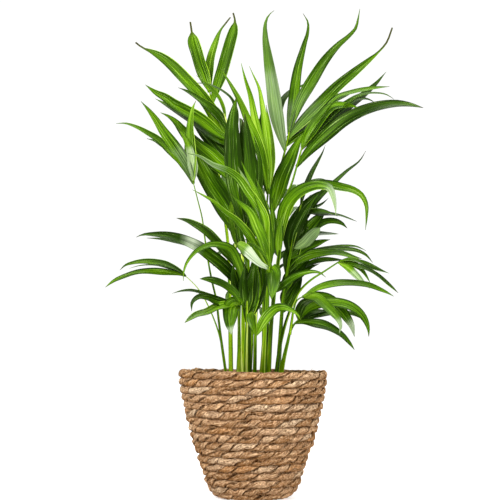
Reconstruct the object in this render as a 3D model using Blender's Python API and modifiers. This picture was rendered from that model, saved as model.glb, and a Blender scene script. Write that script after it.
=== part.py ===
# Areca palm in a woven basket: a rope basket with a thin liner, a grow pot with soil,
# and the palm's leafy stems. Each leafy stem is one solid: a stem with all of its leaves.
import math

import bmesh
import bpy
import numpy as np
from mathutils import Vector

# Basket, all in metres.
basketHeight = 0.170
rowPitch = 0.0105
rowGroove = 0.0022
wallThickness = 0.0085
basketFloor = 0.008
basketOutline = [(0.0, 0.047), (0.0045, 0.0545), (0.0105, 0.0590), (0.0205, 0.0635), (0.0442, 0.0709),
                 (0.0733, 0.0815), (0.124, 0.0936), (0.160, 0.1000), (0.170, 0.0990)]
bendHeights = (0.0205, 0.0733, 0.124)
rimFoot = 0.160
floorRadius = 0.0490
basketSides = 30

# Liner, grow pot and soil, all in metres.
seatGap = 0.0003
linerGap = 0.0004
linerWall = 0.0008
linerTop = 0.159
potFloor = basketFloor + seatGap + linerWall + seatGap
potTop = 0.146
potBaseRadius = 0.0455
potRimRadius = 0.0775
potLip = 0.0020
potLipHeight = 0.007
potWall = 0.0013
potBottom = 0.0015
soilTop = 0.138
soilDome = 0.004
roundSides = 30

# Stems: six-sided tubes that stand in plain holes in the soil.
stemSides = 6
stemFoot = 0.098
holeFloor = 0.096
holeGap = 0.0004
stemTopShare = 0.36

# Leaves: folded blades with a pointed outline.
bladeThickness = 0.0012
bladeFold = 0.13
widestAt = 0.38
rootWidthShare = 0.22
inwardLean = 0.45
scrapVolume = 5e-9

# The front elevation is drawn on a grid of 500 by 500 steps, with columns to the right and
# rows downwards. Each point is placed along the sight line from one eye point, at its own depth.
eyeHeight = 0.205
eyeDistance = 1.7
eyeSide = -0.004
middleColumn = 250
middleRow = 249.5
sightSteps = 1258
horizonRow = 343
rimRow = 370
stepSize = 0.00135

# Each leafy stem has the depth of its foot in mm (backwards is plus), its lean in mm back for
# each mm up, the radius of its stem in mm, its stems and its leaves. A stem is a list of
# columns and rows, with an added depth in mm at some. A leaf has its middle line from root to
# tip, its added depth at the tip in mm, its width in mm, its turn about its own line in
# degrees at root and tip, its lightness from 0 to 1 and, if its end is blunt, a number over 3.
# A last number under 1 is the share of the length where a thread-like end takes over.
shoots = {
    "low_front": {
        "foot": -40, "lean": -0.45, "thick": 2.6,
        "stems": [
            [(254.5, 374), (255, 352), (255.8, 334)],
        ],
        "blades": [
            ([(255.8, 336), (254, 328), (252, 321), (251, 315), (251.5, 311)], -60, 18, 15, 15, 0.45, 5),
            ([(255.8, 335), (257.5, 332), (263, 321.6), (270, 313), (277, 307.8), (284, 307),
              (291, 309.5), (298, 314.6), (301, 320)], -33, 15, 20, 35, 0.55),
        ],
    },
    "low_left": {
        "foot": -34, "lean": -0.42, "thick": 2.6,
        "stems": [
            [(238, 374), (239, 345), (239.5, 320), (240.5, 302)],
        ],
        "blades": [
            ([(240, 306), (227, 302), (212, 296.5), (199.5, 292), (191, 290), (181, 290.5), (172, 293)],
              -42, 12.5, 55, 60, 0.15),
            ([(240, 307), (227.7, 304), (216, 300), (206, 296.5), (198, 297), (192.5, 302), (191.6, 311)],
              -75, 14.5, 40, 30, 0.15),
            ([(240, 307), (230, 304), (216, 307), (208, 311), (195.4, 315), (184.6, 322.4)], -117, 13, 42,
              42, 0.55, 6),
            ([(240, 306), (235.5, 303.5), (231.5, 306), (230.3, 313), (230.3, 322), (231.4, 334)], -105,
              21.5, 5, 5, 0.45, 5),
            ([(240.4, 303), (235.6, 293.5), (229, 288), (224.4, 285), (216, 281), (208, 279),
              (199.5, 278.4)], -60, 13.5, 38, 42, 0.3, 5),
        ],
    },
    "front_centre": {
        "foot": -26, "lean": -0.32, "thick": 3.4,
        "stems": [
            [(262, 374), (264.5, 335), (267, 300), (268.5, 280), (270, 266)],
        ],
        "blades": [
            ([(270, 267), (266, 250), (263, 240), (257, 226.5), (249.7, 211), (239.7, 202), (230, 193)],
              -27, 15.5, 5, 25, 0.8),
            ([(270, 268), (262, 258), (255, 245), (247, 232.6), (236, 220), (224, 211), (213, 201),
              (201.5, 194), (192, 189)], -60, 13.5, 30, 50, 0.65),
            ([(270, 268), (262, 264.5), (254, 257.5), (247.5, 251), (241.5, 246), (236.5, 243)], -72, 18,
              10, 10, 0.7, 7),
            ([(270, 268), (272.5, 271), (273, 277), (272.4, 287), (271.4, 299)], -54, 21, 5, 5, 0.25),
            ([(268, 292), (275, 290), (281, 286), (293, 277.5), (305, 272.5), (315, 271.5), (320, 272.5),
              (326, 277)], -51, 13.5, 35, 45, 0.35),
            ([(270, 266), (267, 250), (265, 235), (263.5, 217), (256.6, 203.6), (247, 190), (239.7, 179),
              (228, 170), (213, 164), (198, 155), (187, 153)], -15, 14, 15, 40, 0.55),
            ([(270, 265), (268, 240), (265.5, 216), (261.5, 196), (256, 178)], 16, 16, 15, 20, 0.25),
            ([(270, 266), (269, 245), (266, 228), (262.7, 215), (255, 199), (246, 182), (238, 166)], 4,
              17, 20, 40, 0.75),
            ([(270, 267), (264, 254), (256, 246), (249, 243), (244, 248), (242.5, 256)], -99, 14.5, 40,
              30, 0.3),
            ([(270, 268), (269, 245), (266, 225), (261, 205), (254, 188), (247, 174), (241, 160)], -4, 14,
              15, 25, 0.5),
        ],
    },
    "left_arch": {
        "foot": -22, "lean": -0.26, "thick": 3,
        "stems": [
            [(246, 374), (246.5, 345), (247, 320), (247, 292)],
        ],
        "blades": [
            ([(247, 296), (246, 280), (242.6, 269.6), (233.5, 259), (223.7, 250), (216, 241),
              (208, 232.4), (195.4, 224), (187, 220), (176, 217.5)], -6, 16.5, 35, 40, 0.25, 5),
            ([(247, 298), (244.7, 292), (239, 283.7), (232, 274.6), (221.6, 264), (211, 255.6),
              (199.5, 247), (189.6, 242), (179, 238), (166, 235), (154, 234), (141.5, 234.5),
              (135.7, 237)], -39, 20, 22, 45, 0.15, 3.5),
            ([(247, 299), (238, 285), (226, 270), (213, 259), (201, 251), (190, 245.5), (175, 241.5),
              (160, 238.5), (146, 237.5)], 2, 11, 58, 60, 0.1, 5),
            ([(247, 300), (243, 280), (238, 262), (230, 248), (220, 244.5), (212, 244), (203.6, 246.7),
              (195.4, 251.5), (189.6, 258), (186, 264), (183.7, 272), (183.3, 281)], -69, 13, 35, 30,
              0.4),
            ([(247, 312), (247.5, 300), (249, 286), (252, 274), (254.5, 264)], -15, 14.5, 20, 20, 0.1),
            ([(247, 310), (244, 300), (243, 288), (243.5, 275), (245, 264)], -33, 14.5, 20, 20, 0.15),
            ([(247, 314), (252, 303), (257, 290), (260, 277), (261.5, 265)], -4, 13.5, 10, 20, 0.1),
            ([(247, 308), (240, 297), (235, 285), (233, 272), (233.5, 262)], -21, 14.5, 30, 30, 0.15),
            ([(247, 322), (250, 305), (253, 288), (254, 272), (253.5, 256)], -10, 20, 5, 5, 0.1, 4),
            ([(247, 320), (254, 304), (260, 288), (262.5, 273), (262, 258)], -2, 18, 10, 10, 0.08, 4),
        ],
    },
    "low_right": {
        "foot": -14, "lean": -0.24, "thick": 3.2,
        "stems": [
            [(281, 374), (283.5, 360), (287.6, 342), (290.7, 330), (294, 324), (299, 319)],
            [(290, 334), (292, 320), (294, 308), (297.5, 299.5), (303, 296)],
        ],
        "blades": [
            ([(294.5, 323), (303, 321.5), (314, 322.5), (326, 325.5), (335, 330), (343, 335.5),
              (349, 342), (354.6, 349.5)], -33, 14, 38, 42, 0.2, 4.5),
            ([(299, 319), (312, 315.5), (330, 312), (347, 312), (356.5, 315), (362.7, 319)], 30, 12, 45,
              45, 0.1, 4),
            ([(299, 319), (309, 308), (322, 302.5), (337, 302), (349, 305), (357, 310), (363.5, 317),
              (367, 324), (368.5, 330), (368.8, 336.5)], -45, 15, 28, 25, 0.4, 4),
            ([(298.5, 319), (300, 309), (303.5, 303), (312, 299.7), (322, 299)], 24, 15, 30, 45, 0.1),
            ([(299, 319), (304, 316), (314.4, 311), (329, 310)], 14, 11, 40, 60, 0.1),
            ([(302.5, 296), (311, 295.5), (320, 296.7), (329, 299.7), (338, 306.6), (346, 316),
              (351, 324), (354.6, 336.5)], -27, 17, 22, 28, 0.3, 4),
            ([(302, 296.5), (309, 295.7), (316.7, 297), (323, 302), (332, 311), (338, 319),
              (340.5, 326.5), (339.3, 333)], -72, 15, 20, 25, 0.7, 4),
            ([(302.5, 296.3), (306, 294.5), (314.4, 289.3), (326, 284.8), (337, 282.8), (349, 282.4),
              (360, 283.2), (370, 285), (379.5, 288.7), (387, 292), (394, 296)], 8, 13, 42, 48, 0.4, 5),
        ],
    },
    "centre": {
        "foot": -8, "lean": -0.17, "thick": 3.2,
        "stems": [
            [(250, 374), (250, 330), (249, 290), (248, 250), (246, 222)],
        ],
        "blades": [
            ([(246, 226), (239, 200), (234, 170), (232, 139), (233, 116), (236.5, 96)], -8, 25.5, 10, 15,
              0.15, 4),
            ([(246.5, 230), (251, 200), (251, 172), (248, 143), (244.5, 113)], 4, 20, 15, 20, 0.1, 4),
            ([(247, 235), (256, 205), (260, 180), (259, 155), (254, 135)], -4, 13.5, 30, 30, 0.1),
            ([(248, 258), (240, 246), (232, 228), (231, 208), (235, 190)], 2, 12.5, 40, 40, 0.6),
            ([(248, 262), (243, 248), (239, 232), (238, 212)], -8, 13.5, 30, 30, 0.1),
            ([(247.5, 250), (252, 232), (256, 212), (258, 190)], -14, 13.5, 20, 20, 0.15),
            ([(249, 285), (255, 270), (258, 252), (257, 236)], -12, 13.5, 20, 20, 0.1),
            ([(249, 240), (247.5, 215), (245, 190), (242.5, 165), (241.5, 140), (243, 118)], 12, 16, 15,
              15, 0.08, 4),
        ],
    },
    "far_left": {
        "foot": -4, "lean": -0.1, "thick": 1.9,
        "stems": [
            [(226, 374), (221, 338.6), (218.6, 319), (216, 298), (212, 281), (208.4, 262), (204.6, 236.5),
             (202, 217), (198, 200.8), (193, 181)],
            [(225, 365), (218.6, 332), (212, 314), (207, 303), (199.5, 290), (191, 280.5),
             (185.4, 275.5)],
        ],
        "blades": [
            ([(193.5, 183), (187, 167), (179, 153.5), (171, 141.5), (163.5, 131), (156, 119.5),
              (149, 110), (140.7, 100.5)], -14, 18, 10, 20, 0.5),
            ([(193, 181), (191, 160), (190, 140), (190.5, 120), (193, 107), (196, 100)], 24, 16, 10, 20,
              0.75),
            ([(193.5, 182), (180, 162), (168, 149), (158, 139), (148, 133), (135.7, 126.4), (125.8, 123),
              (115.5, 123)], -34, 11, 45, 45, 0.4, 5),
            ([(193.5, 182), (181, 163), (171, 152), (161, 144.6), (155, 140.5), (146.5, 138)], 14, 10, 45,
              50, 0.2, 4),
            ([(193, 181), (193, 169.5), (189.6, 150), (184, 136), (178, 128)], 0, 11, 30, 40, 0.85),
            ([(186, 276), (182.5, 272.5), (174.6, 267.5), (166, 264), (154, 261.6), (141.5, 261),
              (133, 262.3), (125, 265), (119.5, 270)], 20, 11.5, 50, 50, 0.25, 5),
            ([(186, 276), (180, 274), (174.6, 273), (162, 271.4), (150, 271), (137, 272), (125, 275.5),
              (115, 279.7), (105, 287)], -26, 12, 42, 50, 0.4, 5),
            ([(186, 276), (182, 273), (174, 269), (164, 266), (150, 264.5), (138, 265.5), (129, 268)], -4,
              9, 65, 70, 0.2),
        ],
    },
    "right_arch": {
        "foot": 0, "lean": -0.06, "thick": 3,
        "stems": [
            [(270.5, 374), (272, 335), (274.5, 300), (278, 265), (281, 242), (284.5, 217), (287, 196),
             (292.5, 180.6), (297, 165), (302, 147)],
        ],
        "blades": [
            ([(297, 167), (308, 152), (326, 134.5), (345, 119.5), (363, 110.5), (383, 105),
              (399.6, 103.4), (411, 104.5), (424, 107.5)], -30, 20, 15, 45, 0.2, 6),
            ([(302, 148), (320, 130), (338, 115), (351, 104), (364, 93.5), (376, 83), (386.5, 71)], 34,
              16, 25, 35, 0.12, 3),
            ([(302, 148), (315, 124), (326, 107), (338, 96), (352, 91.5), (366, 88.5), (378, 87),
              (390, 86)], 6, 11, 42, 45, 0.35, 5),
            ([(301.5, 149), (322, 125), (345, 103), (361, 94), (374, 92.5), (386, 94), (394.5, 99)], -12,
              10, 55, 50, 0.1, 5),
            ([(301.5, 150), (324, 128), (344, 109), (356, 99.5), (366, 98.3), (373, 101), (377.5, 105)],
              18, 11, 48, 45, 0.1, 4),
            ([(281, 242), (282, 223), (286.6, 206), (295, 194.5), (307, 187), (320, 184.5), (329, 187),
              (333, 195.5), (335, 205), (336, 216)], -42, 18, 18, 25, 0.55, 4),
            ([(285, 212), (292, 199), (303, 189.5), (317, 184.5), (331, 184.5), (341, 186.5),
              (353, 189.5), (361.5, 195), (366, 204), (366.5, 216), (365.4, 230)], -20, 14, 30, 32, 0.4,
              5),
            ([(279, 258), (279, 240), (281, 222), (286, 208)], -30, 11, 30, 30, 0.7),
            ([(302, 147), (308, 135), (320, 118), (333, 106), (346, 104.5), (361, 108)], -8, 18, 20, 40,
              0.3),
        ],
    },
    "upper_left": {
        "foot": 4, "lean": 0, "thick": 3,
        "stems": [
            [(243, 374), (243, 300), (242.5, 260), (241.5, 225), (240, 190), (236, 160), (231, 135),
             (224, 113)],
        ],
        "blades": [
            ([(236, 160), (228, 143), (219, 125), (211, 109), (203, 97.5), (191, 84.5), (180.5, 73.5),
              (170, 63), (160, 55.5), (150, 50.3), (143, 47.5), (135, 41.5)], 30, 17.5, 10, 15, 0.5, 4,
              0.94),
            ([(232, 140), (223, 136), (214.5, 130), (206, 123), (198, 117), (185.5, 110), (173, 103),
              (165, 97), (155, 91.6), (145, 84)], -16, 18, 15, 25, 0.5, 4),
            ([(233, 146), (222, 141), (208, 131), (196, 122), (182, 113), (168, 105), (155, 98)], 18, 17,
              25, 40, 0.3, 3.5),
            ([(229, 130), (225, 124), (218.7, 115), (210, 106.5), (202, 100.7), (194, 95), (185.5, 90),
              (178, 87)], 6, 14.5, 15, 35, 0.2),
            ([(240, 188), (228, 172), (217, 162), (208, 154), (199, 147), (190, 138.5), (182, 129.5),
              (175, 121), (167, 115), (160, 112)], -28, 24.5, 5, 20, 0.6),
            ([(236, 162), (226, 154), (214, 141), (203, 129), (194, 117), (190, 111)], 20, 22, 12, 15,
              0.08, 5),
            ([(242, 240), (234, 223), (223.5, 204), (210.5, 184), (201.5, 168), (194, 151), (190, 143)],
              -22, 27, 5, 15, 0.28, 5),
            ([(242, 245), (235, 231), (226, 217), (216, 204), (207, 194)], 10, 13.5, 20, 30, 0.15),
            ([(233, 146), (236, 125), (236, 110), (231, 98), (223, 91), (214, 86), (204, 83),
              (193, 82.5)], 9, 10, 58, 60, 0.1, 4),
            ([(225, 117), (222, 104), (215, 92), (206, 83), (195.7, 74.6)], -12, 10, 50, 55, 0.4),
            ([(241.5, 232), (233, 212), (224, 195), (214, 177), (205, 161), (200, 150)], -7, 23, 10, 20,
              0.35),
        ],
    },
    "spear": {
        "foot": 12, "lean": 0.03, "thick": 3.2,
        "stems": [
            [(250, 374), (254, 300), (260, 250), (266, 210), (268.5, 188)],
        ],
        "blades": [
            ([(268.5, 190), (267, 178), (264.5, 160), (259, 138), (254, 115), (250.5, 96), (245, 78),
              (241, 62)], 4, 13, 10, 20, 0.85),
            ([(268.5, 190), (269.5, 170), (268, 150), (265, 125), (262, 104), (258.5, 86), (253, 74),
              (249, 65)], 14, 11.5, 20, 30, 0.8),
            ([(268, 192), (266.5, 180), (263.5, 163), (256, 139), (248, 120), (239.7, 100.6), (231, 85),
              (220.5, 67.6)], -6, 15, 20, 30, 0.5, 3),
            ([(268.5, 189), (271, 165), (270.5, 140), (268.5, 120), (266, 104)], 24, 12, 25, 25, 0.5),
            ([(267.8, 194), (265, 172), (263, 150), (262.5, 128), (263.5, 105)], 34, 18, 10, 10, 0.1, 5),
        ],
    },
    "right_whip": {
        "foot": 14, "lean": 0.1, "thick": 2.8,
        "stems": [
            [(276, 374), (281, 340), (287, 318), (293, 303), (299, 291.5), (304, 285.5), (311.5, 279),
             (324, 271), (340, 260.5)],
        ],
        "blades": [
            ([(338, 261.5), (347, 266.5), (356.5, 275), (364, 283), (369.8, 288.2)], -26, 10.5, 20, 25,
              0.8, 3),
            ([(339, 261), (351, 262.5), (359, 267), (366, 275), (370.5, 283)], 10, 10.5, 30, 40, 0.5),
            ([(339, 261), (351, 263), (365.4, 268), (378, 275), (388.6, 283.6), (398.5, 292.7)], -6, 10.5,
              54, 52, 0.12, 5),
            ([(339, 261), (350, 259), (361, 261.5), (373.6, 267), (389.4, 273)], 30, 10.5, 54, 52, 0.12,
              5),
        ],
    },
    "top_right": {
        "foot": 16, "lean": 0.14, "thick": 3.6,
        "stems": [
            [(266, 374), (266.5, 330), (267.5, 290), (269, 250), (271.5, 215), (275, 190), (279, 173),
             (283, 158), (286.5, 144), (289, 132)],
        ],
        "blades": [
            ([(285, 150), (281.5, 137), (276, 112), (272.5, 88), (267.8, 56), (265.2, 35), (265.6, 22),
              (268.5, 15), (274.6, 9.6)], -46, 24, 165, 165, 0.55),
            ([(288.8, 133), (290, 121), (294, 96), (297.6, 70), (304, 44.6), (308, 30), (308, 22),
              (302.7, 12.5)], 26, 16.5, 15, 30, 0.4),
            ([(289, 132), (301, 100), (313, 79), (327, 57.5), (338, 45), (350, 34.5), (355.6, 28),
              (358, 19), (360, 7.7)], -24, 18, 18, 25, 0.45),
            ([(288, 138), (302, 122), (321, 103), (337, 86.5), (354, 72), (368, 60.5), (378, 52),
              (386, 43), (392.6, 26.5)], -4, 19, 15, 20, 0.45, 3, 0.86),
            ([(286, 146), (306, 124), (326, 109), (341, 104.6), (352, 104)], 44, 20, 15, 25, 0.25),
            ([(287.5, 140), (307, 119), (322, 104), (333, 98), (345, 94.5), (353, 92)], 60, 20, 12, 15,
              0.12, 4),
            ([(272, 212), (277, 193), (283, 174), (290, 159), (298, 142), (306, 129)], -34, 23, 10, 20,
              0.3),
            ([(286.5, 146), (281, 128), (279.5, 112), (283, 99.5), (290, 91.5), (299, 86.5), (308, 83),
              (319, 81.6)], 60, 13.5, 40, 50, 0.1),
            ([(269, 252), (267, 236), (265.5, 220), (264.5, 206), (264, 192)], 6, 15, 10, 15, 0.12),
            ([(268.5, 262), (272, 246), (273.5, 230), (273, 214), (271, 200)], -4, 13.5, 10, 15, 0.3),
        ],
    },
    "top_left": {
        "foot": 26, "lean": 0.2, "thick": 3,
        "stems": [
            [(231, 374), (230.3, 320), (229, 265), (227.5, 238), (225, 219), (222, 198), (218, 165),
             (214.5, 135), (212, 106), (209.5, 90)],
        ],
        "blades": [
            ([(209.5, 91), (205, 78), (200, 64), (196.5, 52), (193.5, 42), (192, 33), (190.2, 21)], -30,
              17.5, 10, 12, 0.55, 8, 0.85),
            ([(209.5, 91), (209, 74), (211, 57), (215.5, 42), (221, 29), (226, 22.5), (230.7, 16.6)], 34,
              14, 18, 20, 0.35, 2.6, 0.88),
            ([(211.5, 104), (216.5, 88), (221.5, 73), (226, 57), (230.3, 42), (233.8, 29), (235, 20),
              (233, 12)], -10, 16.5, 12, 15, 0.4, 8, 0.91),
        ],
    },
    "right_dark": {
        "foot": 28, "lean": 0.3, "thick": 3.2,
        "stems": [
            [(278, 374), (280, 340), (283, 300), (287, 272), (290, 255), (293, 240), (297, 222),
             (301, 205)],
        ],
        "blades": [
            ([(286.5, 276), (295, 269), (307, 264.5), (316, 261), (324, 259), (334, 259), (346, 260)], 34,
              11.5, 42, 48, 0.1, 4),
            ([(287, 272), (295, 263), (307, 256), (320, 253), (336, 252), (344.6, 253.7), (353, 256.5),
              (362, 258.3)], -30, 15, 36, 44, 0.42, 5),
            ([(287.5, 268), (300, 257), (315, 250.5), (332, 246.7), (344.6, 245.5), (357, 246.3),
              (366.6, 250.4)], 46, 10, 48, 54, 0.1, 4),
            ([(287.2, 271), (296, 262), (307, 255), (320, 250.5), (328, 249), (344.6, 248.6), (357, 250),
              (365.4, 254), (373, 262.5)], 10, 11, 52, 46, 0.12, 5),
            ([(289.5, 258), (297, 253), (307, 246), (316.4, 243), (324, 240.5), (330.5, 239)], -14, 16,
              18, 25, 0.15),
            ([(293.5, 238), (302, 234), (311.5, 229), (320, 223.5), (328, 220.6), (335.5, 220.6),
              (342, 223), (347.5, 228)], 30, 15, 30, 38, 0.1, 4),
            ([(292.5, 243), (305, 237), (320, 233), (328, 233), (339, 233.4)], 60, 11, 50, 48, 0.08, 5),
            ([(291.5, 248), (297, 247), (303, 244), (311, 236), (320, 227)], -40, 17, 165, 165, 0.7, 4),
            ([(299, 213), (307, 212), (316.4, 213), (328, 213), (340.5, 215), (349, 218), (357, 221)], 44,
              10, 52, 52, 0.1, 4),
            ([(299.5, 211), (308, 208), (316.4, 206), (323, 202.5), (329, 197)], 20, 9, 50, 60, 0.1),
            ([(291, 250), (297, 232), (305, 216), (313, 203), (323, 192), (332, 184), (347, 170.5),
              (360.4, 159.4), (366, 150)], 30, 13.5, 30, 45, 0.15),
            ([(290.5, 253), (293, 236), (300, 219), (309, 204), (319, 193)], -24, 19, 18, 25, 0.1),
            ([(290, 255), (289.5, 239), (294, 222), (302, 207), (311, 194)], 0, 20, 15, 25, 0.12),
            ([(301, 206), (303.5, 194), (308, 181), (313, 169.5), (318.5, 159.5), (323, 151),
              (325.5, 144)], 40, 10, 35, 45, 0.1),
            ([(301, 205), (304, 190), (311, 180.5), (321, 178.5), (330, 181)], 10, 9, 60, 60, 0.15),
            ([(299, 215), (307, 212.5), (317, 211), (328, 212), (338, 216)], 16, 15, 45, 55, 0.1),
            ([(296, 227), (301, 214), (308, 203), (316, 195), (326, 189)], 0, 18, 15, 20, 0.1),
            ([(282.5, 305), (284.5, 297), (288, 290), (294, 281), (303, 274)], 24, 15.5, 15, 20, 0.1),
            ([(284.5, 290), (290, 282), (298, 275), (308, 268), (320, 263)], 10, 14.5, 25, 40, 0.1),
            ([(284, 294), (286, 285), (292, 277), (300, 272), (309, 271)], -22, 14.5, 25, 40, 0.1),
            ([(287, 274), (290, 259), (295, 245), (301, 231), (308, 219)], 6, 22, 10, 15, 0.06, 4),
            ([(291.5, 250), (299, 240), (308, 229), (317, 219), (325, 212)], 14, 17, 15, 15, 0.25, 6),
            ([(284, 292), (288, 281), (295, 271), (303, 263), (311, 257)], 4, 19, 15, 20, 0.08, 4),
            ([(283, 312), (287, 303), (292, 292), (297, 283), (302, 273)], 8, 20, 10, 15, 0.08, 4),
        ],
    },
    "back_left": {
        "upright": True, "foot": 40, "lean": 0.24, "thick": 3,
        "stems": [
            [(239, 374, 0), (239, 320, 2), (238, 280, 6), (235.5, 245, 16), (232, 215, 32),
             (228, 190, 54)],
        ],
        "blades": [
            ([(235, 240), (226, 225), (217, 217), (209, 219), (204, 231)], 48, 14, 60, 50, 0.4),
            ([(233.5, 228), (222, 206), (214, 196), (210, 192)], 37, 15, 50, 60, 0.5),
            ([(230, 204), (224, 189), (218, 184), (213, 190)], 56, 14, 50, 60, 0.5),
            ([(228, 191), (225, 173), (224, 164), (226, 162)], 46, 14, 40, 50, 0.6),
            ([(228.5, 193), (232, 179), (236, 176), (240, 184)], 64, 14, 50, 60, 0.4),
            ([(231, 210), (236, 198), (241, 198), (245, 212)], 52, 14, 60, 60, 0.4),
            ([(234, 235), (239, 223), (244, 223), (248, 236)], 48, 14, 60, 60, 0.4),
            ([(236, 258), (228, 249), (220, 252), (213, 266)], 37, 12, 60, 60, 0.3),
            ([(236.5, 262), (241, 253), (245, 257), (249, 271)], 40, 12, 60, 60, 0.3),
        ],
    },
    "back_middle": {
        "upright": True, "foot": 48, "lean": 0.38, "thick": 3.2,
        "stems": [
            [(256, 374, 0), (257, 320, 2), (258, 285, 8), (258, 255, 21), (256, 232, 40), (252, 215, 62)],
        ],
        "blades": [
            ([(258, 262), (249, 257), (241, 264), (235, 280)], 40, 13, 60, 50, 0.4),
            ([(257.5, 248), (247, 239), (238, 242), (231, 256)], 45, 15, 60, 60, 0.5),
            ([(256, 232), (245, 221), (237, 222), (231, 234)], 48, 15, 60, 60, 0.5),
            ([(253.5, 221), (246, 207), (241, 202), (238, 206)], 45, 14, 50, 60, 0.5),
            ([(252, 216), (252, 201), (252, 196), (253, 198)], 48, 14, 30, 30, 0.6),
            ([(253, 218), (260, 205), (265, 203), (270, 210)], 48, 14, 50, 60, 0.5),
            ([(255, 228), (265, 217), (273, 218), (280, 230)], 50, 15, 60, 60, 0.4),
            ([(257.5, 246), (265, 237), (271, 241), (276, 252)], 50, 14, 60, 60, 0.4),
            ([(258, 262), (263, 257), (268, 263), (271, 276)], 44, 12, 60, 60, 0.3),
        ],
    },
    "back_right": {
        "upright": True, "foot": 42, "lean": 0.28, "thick": 3,
        "stems": [
            [(272, 374, 0), (273, 325, 2), (275, 285, 6), (279, 250, 16), (283, 222, 32), (286, 200, 51)],
        ],
        "blades": [
            ([(277.5, 262), (288, 251), (296, 252), (304, 264)], 48, 14, 60, 60, 0.4),
            ([(280, 243), (291, 229), (300, 228), (309, 238)], 48, 15, 60, 60, 0.4),
            ([(282.5, 226), (292, 209), (300, 206), (308, 212)], 48, 14, 50, 60, 0.5),
            ([(286, 202), (291, 189), (296, 184), (302, 187)], 40, 13, 40, 60, 0.5),
            ([(286, 201), (284, 189), (281, 184), (277, 185)], 43, 13, 40, 50, 0.5),
            ([(284.5, 212), (279, 201), (275, 202), (271, 213)], 50, 14, 60, 60, 0.4),
            ([(281, 236), (277, 227), (273, 231), (270, 243)], 44, 14, 60, 60, 0.4),
            ([(278, 256), (273, 249), (269, 253), (267, 264)], 36, 12, 60, 60, 0.3),
            ([(276.5, 270), (286, 264), (293, 269), (299, 283)], 40, 12, 60, 60, 0.3),
        ],
    },
    "back_low": {
        "upright": True, "foot": 54, "lean": 0.5, "thick": 2.8,
        "stems": [
            [(247, 374, 0), (247, 345, 2), (247.5, 318, 8), (248, 298, 19), (248, 284, 35)],
        ],
        "blades": [
            ([(247.7, 312), (241, 303), (235, 307), (231, 322)], 40, 12, 60, 50, 0.4),
            ([(248, 300), (239, 289), (231, 291), (225, 306)], 45, 13, 60, 60, 0.4),
            ([(248, 288), (240, 276), (234, 275), (228, 284)], 48, 13, 60, 60, 0.5),
            ([(248, 285), (246, 273), (245, 270), (246, 272)], 50, 13, 30, 30, 0.5),
            ([(248, 286), (254, 275), (260, 275), (266, 285)], 48, 13, 60, 60, 0.5),
            ([(248, 299), (256, 289), (263, 292), (268, 307)], 43, 13, 60, 60, 0.4),
            ([(247.8, 310), (254, 302), (260, 307), (264, 323)], 38, 12, 60, 60, 0.4),
        ],
    },
    "back_high": {
        "upright": True, "foot": 34, "lean": 0.2, "thick": 3.2,
        "stems": [
            [(264, 374, 0), (264, 310, 2), (262, 260, 5), (258.5, 220, 11), (254, 185, 21),
             (250, 155, 35), (246, 135, 48)],
        ],
        "blades": [
            ([(247, 140), (242, 123), (240, 118), (240, 119)], 35, 14, 30, 30, 0.4),
            ([(246.5, 137), (254, 123), (260, 118), (264, 120)], 24, 16, 30, 30, 0.15),
            ([(249, 150), (241, 139), (234, 137), (227, 144)], 43, 14, 50, 60, 0.4),
            ([(251, 162), (243, 151), (236, 152), (229, 163)], 50, 14, 60, 60, 0.4),
            ([(250.5, 158), (257, 143), (261, 137), (263, 134)], 40, 14, 40, 40, 0.3),
            ([(253, 176), (259, 161), (263, 156), (265, 156)], 48, 14, 50, 50, 0.3),
            ([(254, 186), (245, 174), (237, 174), (230, 185)], 51, 14, 60, 60, 0.4),
            ([(255.5, 202), (263, 189), (267, 186), (268, 186)], 48, 14, 50, 60, 0.4),
            ([(256, 210), (250, 200), (244, 200), (238, 209)], 36, 13, 60, 60, 0.4),
        ],
    },
}


def principled(name, colour, roughness, metallic=0.0):
    """One material with one Principled shader."""
    material = bpy.data.materials.new(name)
    material.use_nodes = True
    shader = material.node_tree.nodes["Principled BSDF"]
    shader.inputs["Base Color"].default_value = (*colour, 1.0)
    shader.inputs["Roughness"].default_value = roughness
    shader.inputs["Metallic"].default_value = metallic
    return material


def meshObject(name, points, faces, collection, edges=()):
    """A mesh object in the collection."""
    mesh = bpy.data.meshes.new(name)
    corners = [tuple(map(float, point)) for point in points]
    mesh.from_pydata(corners, list(edges), [list(map(int, face)) for face in faces])
    mesh.update()
    obj = bpy.data.objects.new(name, mesh)
    collection.objects.link(obj)
    return obj


def turned(name, profile, sides, collection):
    """A profile of (radius, height) turned about the upright axis."""
    points = [(r, 0.0, z) for r, z in profile]
    edges = [(i, i + 1) for i in range(len(profile) - 1)]
    obj = meshObject(name, points, [], collection, edges)
    screw = obj.modifiers.new("Turn", "SCREW")
    screw.axis = "Z"
    screw.steps = sides
    screw.render_steps = sides
    screw.use_merge_vertices = True
    screw.merge_threshold = 0.0001
    screw.use_smooth_shade = False
    return obj


def outerRadius(height):
    """Radius of the basket's outside at a height."""
    heights = [z for z, r in basketOutline]
    radii = [r for z, r in basketOutline]
    return float(np.interp(height, heights, radii))


def innerRadius(height):
    """Radius of the basket's inside at a height."""
    return outerRadius(height) - wallThickness


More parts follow.
